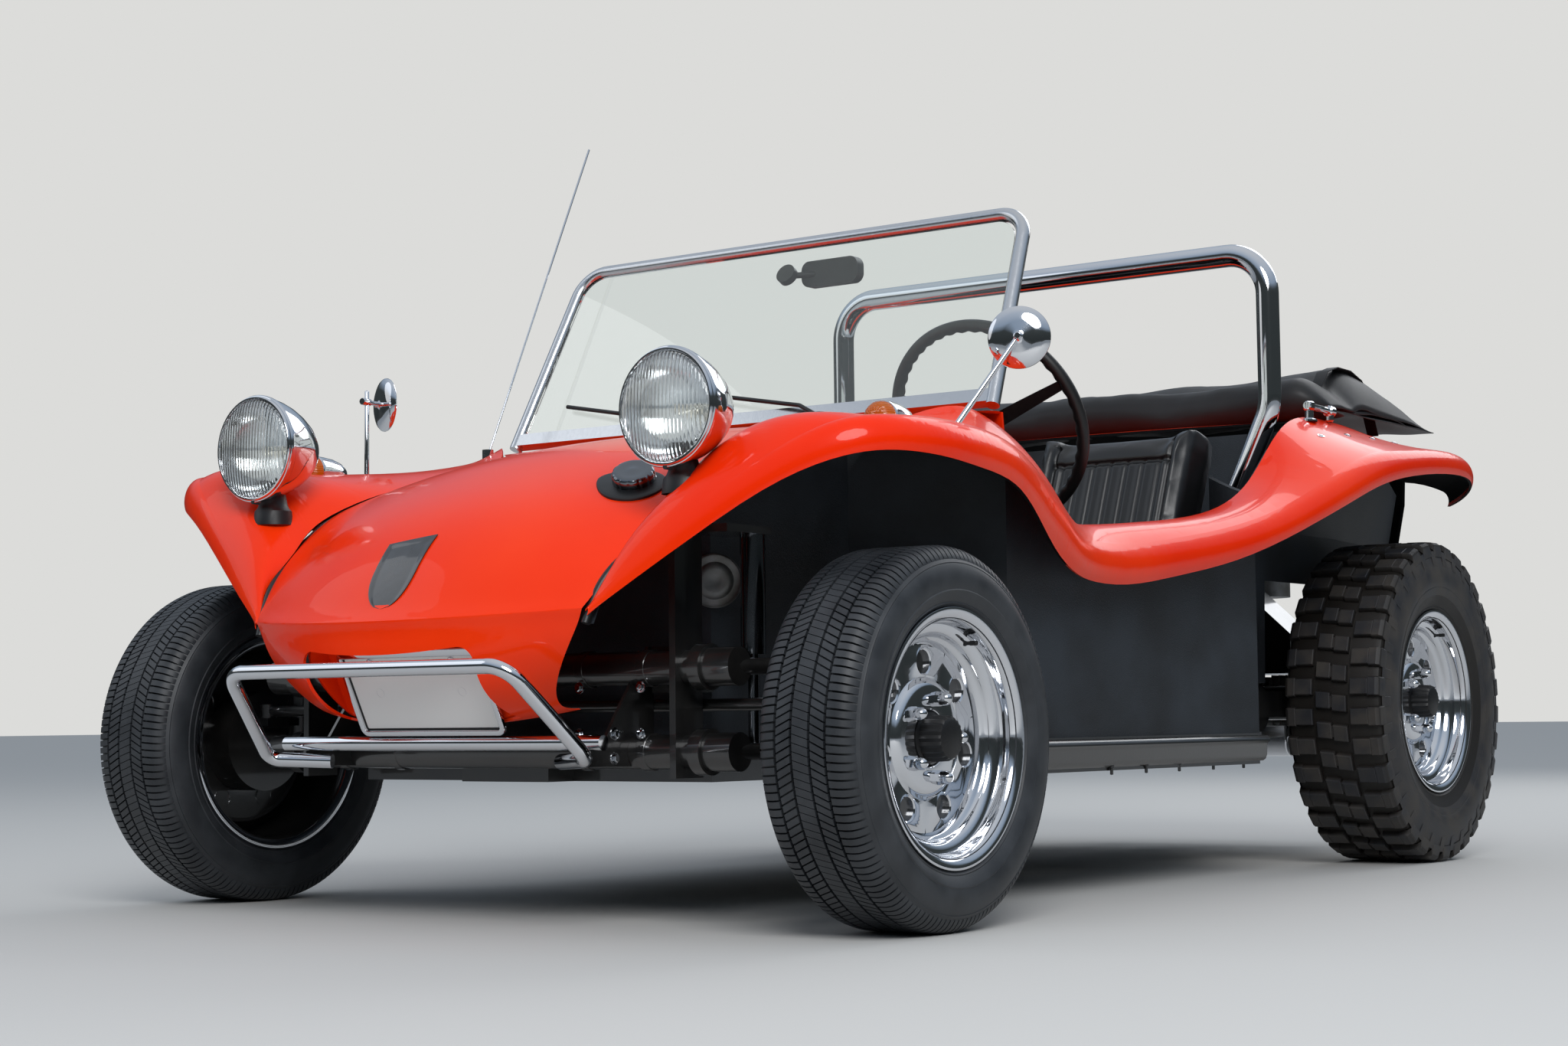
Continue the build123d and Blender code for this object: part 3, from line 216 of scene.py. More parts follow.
def makeGelCoat(name, mask=None):
    # polyester gel coat, sprayed and buffed: a deep orange-red gloss with a faint ripple from the mould;
    # where the mask is 1 it is black undercoat with a pebbled skin
    ripple, gloss = (7.0, 1.0), 0.34
    plain = {} if mask else {"grain": ripple + (0.3, 0.001), "spread": (0.26, 0.34)}
    material = makeSurface(name, "#f2330c", 0.35, stain=(2.2, 4.0), tint=("#f42d02", "#fb3c0c"), **plain,
                           Coat_Weight=gloss, Coat_Roughness=0.03, IOR=1.45, Specular_IOR_Level=0.08)
    if mask:
        tree, shader = shaderOf(material)
        under, coords = mask(tree), objectCoords(tree)
        grain = addNode(tree, "Mix", {0: under, 2: noiseFrom(tree, coords, *ripple),
                                      3: noiseFrom(tree, coords, 380.0, 3.0)})
        bumpFrom(tree, shader, grain.outputs[0], 0.3, 0.001)
        mixColour(tree, shader, under, high="#131314")
        spreadOver(tree, shader.inputs["Roughness"], under, 0.3, 0.75)
        spreadOver(tree, shader.inputs["Coat Weight"], under, gloss, 0.0)
    return material


def makeChrome(name, colour, low, high):
    # bright plating on steel: a mirror with faint wiping haze
    return makeSurface(name, colour, low, 1.0, stain=(14.0, 5.0), spread=(low, high))


def makeRubber(name, dark, light, roughness, crown=None):
    # cured tyre rubber: charcoal with brown dust tints at random and a fine moulded grain;
    # crown is the axle's station and height and the radii where a painted shade, near-black brown, fills the
    # voids between the lugs
    material = makeSurface(name, dark, roughness, grain=(900.0, 2.0, 0.35, 0.0004), stain=(17.0, 6.0),
                           tint=(dark, light), spread=(roughness - 0.12, roughness + 0.12))
    if crown:
        y, z, low, high = crown
        tree, shader = shaderOf(material)
        place = addNode(tree, "SeparateXYZ", {"Vector": objectCoords(tree)}).outputs
        flat = addNode(tree, "CombineXYZ", {"Y": place["Y"], "Z": place["Z"]})
        away = addNode(tree, "VectorMath", {0: flat.outputs[0]}, operation="DISTANCE")
        away.inputs[1].default_value = (0, y, z)
        # painted shade: within the tread and below the lugs' tops, the voids are darkened to near-black brown
        share = addNode(tree, "MapRange", {"Value": away.outputs["Value"]}, From_Min=low, From_Max=high)
        tread = mathOf(tree, "SUBTRACT", mathOf(tree, "ABSOLUTE", place["X"]), 0.653)
        wall = mathOf(tree, "GREATER_THAN", mathOf(tree, "ABSOLUTE", tread), 0.104)
        mixColour(tree, shader, mathOf(tree, "MAXIMUM", share.outputs[0], wall), low="#17130f")
    return material


def makeVinyl(name, colour, roughness, cells, strength):
    # calendered PVC cloth: black, embossed with a leather grain and softly shiny
    material = makeSurface(name, colour, roughness, stain=(8.0, 5.0),
                           spread=(roughness - 0.08, roughness + 0.12), Coat_Weight=0.15, Coat_Roughness=0.3)
    tree, shader = shaderOf(material)
    leather = addNode(tree, "TexVoronoi", {"Vector": objectCoords(tree)}, Scale=cells)
    bumpFrom(tree, shader, leather.outputs["Distance"], strength, 0.0006)
    return material


def makeGlass(name, colour):
    # clear glass without a tint, so that what lies behind shows true
    return makeSurface(name, colour, 0.0, IOR=1.5, Transmission_Weight=1.0)


def makeRibbed(name, colour, roughness, refraction, clear, way, waves, depth):
    # moulded acrylic with fine ribs every 4 mm, or pressed lamp glass with upright flutes every 7 mm
    material = makeSurface(name, colour, roughness, IOR=refraction, Transmission_Weight=clear)
    tree, shader = shaderOf(material)
    ribs = addNode(tree, "TexWave", {"Vector": objectCoords(tree)}, bands_direction=way, Scale=waves)
    bumpFrom(tree, shader, ribs.outputs["Fac"], 0.5, depth)
    return material


gelCoat = makeGelCoat("gel_coat_orange")
deckCoat = makeGelCoat("gel_coat_deck", innerDeck)
linedGelCoat = makeGelCoat("gel_coat_lined", innerFaces)
chrome = makeChrome("chrome_plate", "#d8dade", 0.03, 0.09)
reflectorSilver = makeChrome("aluminised_reflector", "#e8e9ec", 0.08, 0.16)
darkChrome = makeChrome("smoked_chrome", "#6f7378", 0.08, 0.2)
mirrorGlass = makeChrome("silvered_glass", "#e6e9ec", 0.01, 0.03)
roadRubber = makeRubber("tyre_rubber_road", "#23262a", "#34373b", 0.5)
mudRubber = makeRubber("tyre_rubber_mud", "#25262a", "#3d3935", 0.55, (rearAxle.y, rearAxle.z, 0.333, 0.3415))
seatVinyl = makeVinyl("seat_vinyl", "#0a0a0b", 0.33, 700.0, 0.2)
topVinyl = makeVinyl("top_cloth_vinyl", "#0c0c0e", 0.6, 1000.0, 0.35)
cableBlack = makeVinyl("cable_pvc_black", "#0d0d0e", 0.4, 1200.0, 0.1)
screenGlass = makeGlass("float_glass", "#f2f8f6")
bulbGlass = makeGlass("bulb_glass", "#fff8ea")
lampGlass = makeRibbed("pressed_lamp_glass", "#f6fafa", 0.02, 1.5, 1.0, "X", 45.0, 0.0014)
amberLens = makeRibbed("acrylic_amber", "#f07a06", 0.12, 1.49, 0.5, "Z", 80.0, 0.0008)
redLens = makeRibbed("acrylic_red", "#c4100a", 0.12, 1.49, 0.35, "Z", 80.0, 0.0008)
# rubberised undercoat sprayed on glass fibre: black with a pebbled skin of about 2 mm
underCoat = makeSurface("undercoat_black", "#141415", 0.7, grain=(420.0, 3.0, 0.55, 0.0012), stain=(5.0, 6.0),
                        tint=("#15181c", "#2b3138"), spread=(0.42, 0.7))
# drawn aluminium: fine lines along the section, about 0.4 mm apart
polishedScreen = makeSurface("polished_alloy_section", "#cfd0d2", 0.2, 1.0, grain=(1.0, 3.0, 0.12, 0.0005),
                             stain=(1.0, 3.0), spread=(0.12, 0.32), scale=(260, 260, 30))
# sand-cast aluminium: dull grey with a grain of about 1.5 mm and oily stains
castAlloy = makeSurface("cast_alloy", "#8b8c8c", 0.5, 0.85, grain=(650.0, 2.0, 0.4, 0.0006),
                        stain=(14.0, 6.0), tint=("#5f5d58", "#9b9c9d"), spread=(0.4, 0.65))
# brushed-on chassis enamel over steel, glossy with dust in the corners
blackEnamel = makeSurface("chassis_enamel_black", "#131416", 0.35, grain=(160.0, 2.0, 0.2, 0.0006),
                          stain=(11.0, 6.0), tint=("#0b0b0c", "#1d1c1b"), spread=(0.28, 0.5),
                          Coat_Weight=1.0, Coat_Roughness=0.07)
# sheet aluminium with a baked white finish, blank
plateWhite = makeSurface("baked_white", "#eeeeec", 0.35, grain=(60.0, 3.0, 0.05, 0.0005), stain=(60.0, 3.0),
                         spread=(0.3, 0.45))
# stoved black enamel on pressed tin: deep gloss, slightly grey where it has been rubbed
badgeEnamel = makeSurface("badge_enamel_black", "#0d0e10", 0.25, grain=(70.0, 4.0, 0.08, 0.0005),
                          stain=(70.0, 4.0), tint=("#0b0c0e", "#1d2024"), spread=(0.2, 0.4),
                          Coat_Weight=0.8, Coat_Roughness=0.06)
# moulded ABS, black with a spark-eroded grain of about 1 mm
blackAbs = makeSurface("abs_black", "#0c0c0d", 0.45, grain=(900.0, 2.0, 0.25, 0.0004), stain=(900.0, 2.0),
                       spread=(0.38, 0.5))
print("materials made")

dressed = (
    (linedGelCoat, "body_side_left body_side_right"),
    (gelCoat, "hood dashboard"),
    (deckCoat, "rear_deck"),
    (underCoat, "tub"),
    (blackEnamel, "floorpan bumper_brackets front_beam trailing_arms kingpin_carriers tie_rods"),
    (blackEnamel, "knuckle_left knuckle_right steering_column rear_axle fan_shroud pedals"),
    (chrome, "roll_bar front_bumper headlights mirrors filler_cap exhaust antenna gear_lever handbrake"),
    (chrome, "rim_front_left rim_front_right rim_rear_left rim_rear_right"),
    (polishedScreen, "windscreen_frame"),
    (darkChrome, "front_shocks"),
    (screenGlass, "windscreen_glass headlight_lenses"),
    (castAlloy, "engine gearbox"),
    (roadRubber, "tyre_front_left tyre_front_right"),
    (mudRubber, "tyre_rear_left tyre_rear_right"),
    (seatVinyl, "seat_cushions seat_backs"),
    (topVinyl, "soft_top"),
    (amberLens, "turn_signals"),
    (redLens, "tail_lamps"),
    (plateWhite, "number_plate"),
    (blackAbs, "steering_wheel inner_mirror wipers"),
)
for material, names in dressed:
    for name in names.split():
        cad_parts[name].data.materials.clear()
        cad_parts[name].data.materials.append(material)
print("frame nodes dressed")


# shared helpers for the modelled pieces
def meshFrom(name, bm):
    mesh = bpy.data.meshes.new(name)
    bm.to_mesh(mesh)
    bm.free()
    return mesh


def finishPiece(name, bm, materials, replaced=None, body="root", sharp=32):
    # faces point outwards and edges steeper than the limit stay crisp
    bmesh.ops.recalc_face_normals(bm, faces=bm.faces)
    limit = math.radians(sharp)
    for edge in bm.edges:
        edge.smooth = len(edge.link_faces) == 2 and edge.calc_face_angle() < limit
    for face in bm.faces:
        face.smooth = True
    piece = linked(name, meshFrom(name, bm))
    for material in materials:
        piece.data.materials.append(material)
    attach(piece, body)
    if replaced:
        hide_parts(replaced)
    return piece


def joinInto(bm, part):
    # a part worked out by itself joins the piece's mesh
    mesh = meshFrom("part", part)
    bm.from_mesh(mesh)
    bpy.data.meshes.remove(mesh)


def vertsIn(geom):
    return [item for item in geom if isinstance(item, bmesh.types.BMVert)]


def facesIn(geom):
    return [item for item in geom if isinstance(item, bmesh.types.BMFace)]


def paint(verts, finish):
    for face in {face for vert in verts for face in vert.link_faces}:
        face.material_index = finish


def settle(bm, verts, shift=None, turn=None):
    # turned about the origin, then moved
    if turn is not None:
        bmesh.ops.rotate(bm, verts=verts, cent=(0, 0, 0), matrix=turn)
    if shift is not None:
        bmesh.ops.translate(bm, verts=verts, vec=shift)


def chainOf(bm, points, closed=False):
    verts = [bm.verts.new(point) for point in points]
    return verts, [bm.edges.new(pair) for pair in zip(verts, verts[1:] + verts[:1] * closed)]


def extrudeEdges(bm, edges, shift=None):
    made = bmesh.ops.extrude_edge_only(bm, edges=edges)["geom"]
    verts = vertsIn(made)
    settle(bm, verts, shift)
    return verts, [item for item in made if isinstance(item, bmesh.types.BMEdge)
                   and item.verts[0] in verts and item.verts[1] in verts]


def thicken(bm, thickness):
    bmesh.ops.recalc_face_normals(bm, faces=bm.faces)
    bmesh.ops.solidify(bm, geom=bm.faces[:], thickness=thickness)


def roundOff(bm, geom, offset, segments, affect="EDGES", clamped=False):
    bmesh.ops.bevel(bm, geom=geom, offset=offset, affect=affect, segments=segments, profile=0.5, material=-1,
                    clamp_overlap=clamped)


def bake(piece):
    # the modifiers' result becomes the mesh
    graph = bpy.context.evaluated_depsgraph_get()
    shape = bpy.data.meshes.new_from_object(piece.evaluated_get(graph))
    old = piece.data
    piece.modifiers.clear()
    piece.data = shape
    bpy.data.meshes.remove(old)


def refine(piece):
    smooth = piece.modifiers.new("fine", "SUBSURF")
    smooth.levels = smooth.render_levels = 1


def addBox(bm, size, shift=None, turn=None):
    verts = bmesh.ops.create_cube(bm, size=1.0)["verts"]
    bmesh.ops.scale(bm, verts=verts, vec=size)
    settle(bm, verts, shift, turn)
    return verts


def spinProfile(bm, points, steps, finish=0, closed=False, centre=(0, 0, 0), axis=(1, 0, 0)):
    # points are (along the axis, away from it) in mm
    axis = Vector(axis).normalized()
    side = Vector((0, 0, 1)) if abs(axis.z) < 0.9 else Vector((1, 0, 0))
    out = (side - axis * side.dot(axis)).normalized()
    verts, edges = chainOf(bm, [Vector(centre) + axis * a / 1000 + out * r / 1000 for a, r in points], closed)
    old = set(bm.faces)
    bmesh.ops.spin(bm, geom=verts + edges, cent=centre, axis=axis, angle=2 * pi, steps=steps, use_merge=True)
    made = [face for face in bm.faces if face not in old]
    for face in made:
        face.material_index = finish
    spun = list({vert for face in made for vert in face.verts})
    bmesh.ops.remove_doubles(bm, verts=spun, dist=0.00002)
    return [vert for vert in spun if vert.is_valid]


def copyRound(bm, verts, count):
    # the first piece of a pattern, copied evenly round the wheel's axis
    edges = {edge for vert in verts for edge in vert.link_edges}
    faces = {face for vert in verts for face in vert.link_faces}
    bmesh.ops.spin(bm, geom=verts + list(edges) + list(faces), cent=(0, 0, 0), axis=(1, 0, 0),
                   angle=2 * pi * (count - 1) / count, steps=count - 1, use_duplicate=True)


def placeSided(bm, side, centre):
    # wheel parts and lamps are made for the left side and flipped for the right
    if side < 0:
        bmesh.ops.scale(bm, vec=(-1, 1, 1), verts=bm.verts)
    settle(bm, bm.verts, centre)


# tyres: lengths across the tread and radii in mm
roadTyre = {
    "pitches": 144,
    "steps": 144,
    "half": [(0, 281.2), (62, 280.6), (72, 277.8), (79.5, 271.5), (84, 264.5), (86.4, 262.2), (86.2, 260.6),
             (87.6, 258.4), (91, 248), (92.2, 238), (91.4, 227), (90.2, 222.2), (91.2, 220.2), (89.8, 216.5),
             (85.2, 207.5), (82.2, 203.2), (83, 201.2), (80.6, 199.4), (78.6, 198), (76.7, 194),
             (76.7, 178.7)],
    "shoulder": [(46, 289), (58, 288.6), (67, 286.2), (74, 281.4), (79.2, 275), (82.5, 268.8)],
    "middle": [(18, 289), (41.5, 289)],
    "centre": [(-13.5, 289), (13.5, 289)],
    "radius": 289,
    "depth": 7.6,
}
mudTyre = {
    "pitches": 34,
    "steps": 102,
    "half": [(0, 331), (86, 330.4), (98, 326), (103, 318), (106, 306), (109.5, 292), (111.6, 277),
             (111.9, 262), (110.4, 250), (108.6, 246), (109.4, 243), (106.4, 233), (101, 220), (96.4, 209),
             (95, 204.5), (95.8, 202.2), (92.4, 199.6), (89.8, 195), (89.8, 178.7)],
    "inner": [(42, 343), (80, 342.4)],
    "outer": [(80, 342.4), (96, 341), (103, 336), (106.5, 322)],
    "biter": [(104.5, 322), (107.4, 308), (110.2, 294)],
    "middle": [(-33, -2.2, -3.5), (2.2, 33, 3.5)],
    "bridge": [(-8, 340), (8, 340)],
    "radius": 343,
    "depth": 12,
}


def addBlock(bm, chain, span, depth, skew=0.0, turn=0.0, taper=1.0):
    # a tread block: its foot follows the chain across the tread and is pulled out to the chain's radii;
    # span and skew are lengths along the tread in mm, turn is an angle, taper narrows the block's top
    radius = chain[0][1]
    near, edges = chainOf(bm, [(a / 1000, 0, (r - depth) / 1000) for a, r in chain])
    strip = bmesh.ops.extrude_edge_only(bm, edges=edges)["geom"]
    far = vertsIn(strip)
    half = span / 2 / radius
    settle(bm, near, turn=Matrix.Rotation(-half, 3, "X"))
    settle(bm, far, turn=Matrix.Rotation(half, 3, "X"))
    top = vertsIn(bmesh.ops.extrude_face_region(bm, geom=facesIn(strip))["geom"])
    for vert in top:
        angle = math.atan2(-vert.co.y, vert.co.z)
        vert.co += Vector((0, vert.co.y, vert.co.z)).normalized() * depth / 1000
        vert.co = Matrix.Rotation(angle * (taper - 1), 3, "X") @ vert.co
    verts = near + far + top
    low, high = chain[0][0] / 1000, chain[-1][0] / 1000
    for vert in verts:
        bend = skew / radius * (vert.co.x - (low + high) / 2) / (high - low)
        vert.co = Matrix.Rotation(turn + bend, 3, "X") @ vert.co
    return verts


def mirrorChain(chain, way):
    return [(a * way, r) for a, r in chain]


def addCarcass(bm, tyre):
    half = tyre["half"]
    spinProfile(bm, half[::-1] + mirrorChain(half[1:], -1), tyre["steps"], closed=True)
    return tyre["depth"], 2 * pi * tyre["radius"] / tyre["pitches"]


def makeRoadTyre(name, side, body, centre):
    bm = bmesh.new()
    depth, pitch = addCarcass(bm, roadTyre)
    verts = []
    for way, turn in ((1, 0.0), (-1, pi / roadTyre["pitches"])):
        shoulder, middle = mirrorChain(roadTyre["shoulder"], way), mirrorChain(roadTyre["middle"], way)
        verts += addBlock(bm, shoulder, pitch * 0.76, depth, skew=3, turn=turn)
        verts += addBlock(bm, middle, pitch * 0.78, depth - 1, skew=11, turn=turn)
    verts += addBlock(bm, roadTyre["centre"], pitch * 0.9, depth - 1, skew=8)
    copyRound(bm, verts, roadTyre["pitches"])
    placeSided(bm, side, centre)
    finishPiece(name + "_tread", bm, [roadRubber], name, body)


def makeMudTyre(name, side, body, centre):
    bm = bmesh.new()
    depth, pitch = addCarcass(bm, mudTyre)
    radius, half = mudTyre["radius"], pi / mudTyre["pitches"]
    verts = []
    for way in (1, -1):
        inner, outer, biter = [mirrorChain(mudTyre[key], way) for key in ("inner", "outer", "biter")]
        verts += addBlock(bm, inner, pitch * 0.6, depth + 1, taper=0.84)
        verts += addBlock(bm, outer, pitch * 0.68, depth, taper=0.84)
        verts += addBlock(bm, biter, pitch * 0.34, 4, turn=half, taper=0.9)
    for low, high, shift in mudTyre["middle"]:
        chain = [(low, radius), (high, radius)]
        verts += addBlock(bm, chain, pitch * 0.62, depth + 1, skew=3, turn=half + shift / radius, taper=0.8)
    verts += addBlock(bm, mudTyre["bridge"], pitch * 0.42, depth - 2, turn=half, taper=0.9)
    copyRound(bm, verts, mudTyre["pitches"])
    tread = (radius - 3.5) / 1000
    worn = [edge for edge in bm.edges if len(edge.link_faces) == 2 and edge.calc_face_angle() > 1.0
            and min(vert.co.yz.length for vert in edge.verts) > tread]
    roundOff(bm, worn, 0.0013, 1, clamped=True)
    placeSided(bm, side, centre)
    finishPiece(name + "_lugs", bm, [mudRubber], name, body, sharp=28)


# rims: lengths from the wheel's middle and radii in mm
wheels = {
    "frontLip": 82.0,
    "rearLip": 95.0,
    "frontX": 0.7285,
    "rearX": 0.653,
    "discInset": 59.0,
    "discRadii": (0.1415, 0.0925),
    "discCorners": (1.0, 2.2),
    "holes": 7,
    "holeCircle": 115.0,
    "holeRadius": 18.0,
    "nuts": 5,
    "nutCircle": 62.0,
    "valve": Vector((0, math.sin(0.5), math.cos(0.5))) * 0.163,
    "steps": 120,
    # from the outer lip
    "dish": [(-2.6, 195.6), (-0.4, 195.4), (0.2, 193.4), (-1.2, 187.5), (-4.6, 180.6), (-10, 176),
             (-16, 174.2), (-27, 173), (-30, 171), (-31.5, 166.5), (-33, 160.4), (-36, 157), (-40, 154.6),
             (-44.5, 153.6), (-47, 151), (-48.5, 147), (-51.5, 144.6), (-56, 143.6)],
    "well": [(-52, 150), (-48, 157), (-38, 162), (-36, 170), (-40, 172.6)],
    "outerBead": [(-13, 177.4), (-7.6, 182), (-4.8, 190), (-2.6, 195.6)],
    "stem": [(-42, 4.6), (-32, 4.4), (-30, 3), (-24, 3), (-23.4, 3.8), (-12, 3.8), (-11, 2.8), (-10.6, 0)],
    # from the inner lip
    "slope": [(24, 172.6), (12, 174.4), (6, 178.2)],
    "flange": [(6, 178.2), (2, 184), (0, 191), (0.4, 195), (2.8, 195.5)],
    "innerBead": [(2.8, 195.5), (5.2, 190), (7.6, 182), (13, 177.4)],
    # from the disc's face
    "discEdge": [(0, 141.5), (-6, 140.5), (-7, 147)],
    "hub": [(-0.2, 93), (1.2, 90.5), (5.5, 87.6), (9.5, 83), (11, 77.5), (11, 44), (9, 41.5), (6, 40.5)],
    "drum": [(-6.5, 141), (-5.2, 100), (-5.2, 90.3), (-67, 90.3), (-67, 0)],
    "nut": [(8, 0), (8, 11.2), (20, 11.2), (21.5, 9.4)],
    "stud": [(19, 10.2), (30, 9.8), (34.5, 7.6), (37, 4), (37.6, 0)],
    "cap": [(4, 40.5), (11, 39.5), (13, 35.6), (44, 34), (49, 31.5), (51.5, 26), (52, 0)],
}


def outBy(chain, shift):
    return [(a + shift, r) for a, r in chain]


def addDisc(bm, face):
    # the disc is one seventh of its round, with one hole, spun seven times; the hole's outer ring is laid
    # on the seventh's border, which it meets at two bearings
    half = pi / wheels["holes"]
    size = wheels["holeRadius"] / 1000
    middle = Vector((face, 0, wheels["holeCircle"] / 1000))
    hole = bmesh.ops.create_circle(bm, segments=32, radius=size)["verts"]
    settle(bm, hole, middle, Matrix.Rotation(pi / 2, 3, "Y"))
    border = edges = [edge for edge in bm.edges if edge.verts[0] in hole]
    verts = list(hole)
    for reach, lift in ((1.14, 0.0016), (1.3, 0.0002)):
        moved, edges = extrudeEdges(bm, edges)
        for vert in moved:
            vert.co = middle + (vert.co - middle).normalized() * size * reach
            vert.co.x = face + lift
        verts += moved
    wide, narrow = wheels["discRadii"]
    high, low = wheels["discCorners"]
    outline, edges = extrudeEdges(bm, edges)
    for vert in outline:
        way = (vert.co - middle).yz.normalized()
        bearing = math.atan2(way.x, way.y)
        away = abs(bearing)
        if away < high + 0.04:
            radius, angle = wide, half * min(1.0, away / high)
        elif away > low:
            radius, angle = narrow, half * min(1.0, (pi - away) / (pi - low))
        else:
            radius, angle = wide + (narrow - wide) * (away - high) / (low - high), half
        angle = math.copysign(angle, bearing)
        vert.co = Vector((face, radius * math.sin(angle), radius * math.cos(angle)))
    wall, edges = extrudeEdges(bm, border, (-0.007, 0, 0))
    copyRound(bm, verts + outline + wall, wheels["holes"])
    bmesh.ops.remove_doubles(bm, verts=bm.verts, dist=0.0001)


def makeRim(name, side, lip, body, centre):
    bm = bmesh.new()
    f = lip - wheels["discInset"]
    dish = outBy(wheels["dish"], lip) + outBy(wheels["discEdge"][:1], f)
    back = outBy(wheels["discEdge"], f) + outBy(wheels["well"], lip) + outBy(wheels["slope"], -lip)
    flange = outBy(wheels["flange"], -lip)
    bead = outBy(wheels["innerBead"], -lip) + outBy(wheels["outerBead"], lip)
    for run, finish in ((dish, 0), (back, 1), (flange, 0), (bead, 1)):
        spinProfile(bm, run, wheels["steps"], finish)
    bmesh.ops.remove_doubles(bm, verts=bm.verts, dist=0.00005)
    disc = bmesh.new()
    addDisc(disc, f / 1000)
    joinInto(bm, disc)
    for part, turns, finish in (("hub", 72, 0), ("drum", 60, 1)):
        spinProfile(bm, outBy(wheels[part], f), turns, finish)
    for k in range(wheels["nuts"]):
        angle = 2 * pi * (k + 0.25) / wheels["nuts"]
        spot = Vector((0, math.sin(angle), math.cos(angle))) * wheels["nutCircle"] / 1000
        spinProfile(bm, outBy(wheels["nut"], f), 6, centre=spot)
        spinProfile(bm, outBy(wheels["stud"], f), 16, centre=spot)
    for vert in spinProfile(bm, outBy(wheels["cap"], f), 40, 2):
        # every other point of the cap's side is pulled in
        turn = math.atan2(vert.co.y, vert.co.z) * 20 / pi
        if 0.024 < vert.co.yz.length < 0.036 and round(turn) % 2:
            vert.co.yz *= 0.93
    spinProfile(bm, outBy(wheels["stem"], lip), 12, 2, centre=wheels["valve"])
    placeSided(bm, side, centre)
    finishPiece(name + "_chrome", bm, [chrome, blackEnamel, blackAbs], name, body, sharp=36)


for sideName, side in sides:
    frontCentre = Vector((side * wheels["frontX"], frontAxle.y, frontAxle.z))
    rearCentre = Vector((side * wheels["rearX"], rearAxle.y, rearAxle.z))
    makeRoadTyre("tyre_front_" + sideName, side, "wheel_front_" + sideName, frontCentre)
    makeMudTyre("tyre_rear_" + sideName, side, "wheel_rear_" + sideName, rearCentre)
    makeRim("rim_front_" + sideName, side, wheels["frontLip"], "wheel_front_" + sideName, frontCentre)
    makeRim("rim_rear_" + sideName, side, wheels["rearLip"], "wheel_rear_" + sideName, rearCentre)
print("wheels made")


# headlights: a double rim, a bright reflector, a fluted glass and a tapered pedestal
headlight = {
    "centre": at(0.453, -0.244, 0.792),
    "rim": [(8, 84), (1.5, 84.6), (-1.2, 86.2), (-1.4, 88.4), (0.6, 90), (2.6, 90.4), (3.2, 91.8), (5.6, 93),
            (9, 93), (14, 92.2), (15.6, 90.6), (16, 88.6)],
    "bowl": [(16, 90.4), (22, 89.6), (36, 86.8), (54, 81), (74, 71.8), (94, 59.6), (112, 44), (125, 27),
             (132.5, 12), (134.4, 0)],
    "reflector": [(7, 84), (14, 82), (30, 76), (48, 64), (62, 47), (70, 30), (73, 16), (73.6, 0)],
    "bulb": [(72, 9), (46, 9), (40, 7), (36, 3.6), (35, 0)],
    "lensRadius": 83.6,
    "lensBulge": 13.0,
    "clamp": [(0, 0), (0, 4.4), (14, 4.4), (14, 0)],
    "foot": at(0.453, -0.197, 0.0),
    # height and half widths of the pedestal's ovals
    "pedestal": [(0.662, 0.036, 0.034), (0.686, 0.033, 0.031), (0.692, 0.027, 0.027), (0.700, 0.024, 0.024),
                 (0.716, 0.0205, 0.0215), (0.728, 0.0235, 0.0235), (0.735, 0.0235, 0.0235),
                 (0.74, 0.019, 0.019)],
    "screw": [(0, 0), (0, 7), (5, 7), (6.5, 5), (7, 0)],
}


def makeHeadlight(name, side):
    centre = mirrored(headlight["centre"], side)
    shell = bmesh.new()
    for part, steps, finish in (("rim", 72, 0), ("bowl", 72, 0), ("reflector", 64, 1), ("bulb", 24, 2)):
        spinProfile(shell, headlight[part], steps, finish, axis=rearwards)
    # clamp screw under the rim
    spinProfile(shell, headlight["clamp"], 12, centre=(0, 0, -0.0915), axis=rearwards)
    placeSided(shell, side, centre)
    finishPiece(name + "_shell", shell, [chrome, reflectorSilver, bulbGlass], "headlights")
    lens = bmesh.new()
    radius, bulge = headlight["lensRadius"], headlight["lensBulge"]
    bearings = [t * pi / 16 for t in range(9)]
    dome = [(1 - bulge * math.cos(t), radius * math.sin(t)) for t in bearings]
    spinProfile(lens, dome, 96, axis=rearwards)
    thicken(lens, 0.003)
    placeSided(lens, side, centre)
    finishPiece(name + "_glass", lens, [lampGlass], "headlight_lenses", sharp=40)
    # the pedestal is a stack of ovals, held by a screw at each side
    pedestal = bmesh.new()
    verts = bmesh.ops.create_circle(pedestal, segments=28, radius=1.0)["verts"]
    edges = pedestal.edges[:]
    before = (1.0, 1.0)
    for level, (z, wide, deep) in enumerate(headlight["pedestal"]):
        if level > 0:
            verts, edges = extrudeEdges(pedestal, edges)
        for vert in verts:
            vert.co = (vert.co.x * wide / before[0], vert.co.y * deep / before[1], z)
        before = (wide, deep)
    foot = mirrored(headlight["foot"], side)
    settle(pedestal, pedestal.verts, foot)
    for way in (-1, 1):
        spot = foot + Vector((way * 0.0215, 0, 0.7315))
        spinProfile(pedestal, headlight["screw"], 6, 1, centre=spot, axis=(way, 0, 0))
    finishPiece(name + "_pedestal", pedestal, [blackAbs, chrome])


for sideName, side in sides:
    makeHeadlight("headlight_" + sideName, side)
print("headlights made")


# indicators and mirrors
indicator = {
    "centre": at(0.636, 0.066, 0.786),
    "lens": [(-20, 0), (-19.4, 9), (-17, 17), (-12.5, 23.4), (-6, 27.4), (1.5, 28.6)],
    "shell": [(1.5, 27), (1.5, 29.6), (4.5, 30.6), (8, 30.2), (22, 29.4), (44, 27), (62, 22), (76, 14),
              (84, 6), (86.4, 0)],
    "stem": [(-44, 14), (-26, 13), (-10, 12)],
}


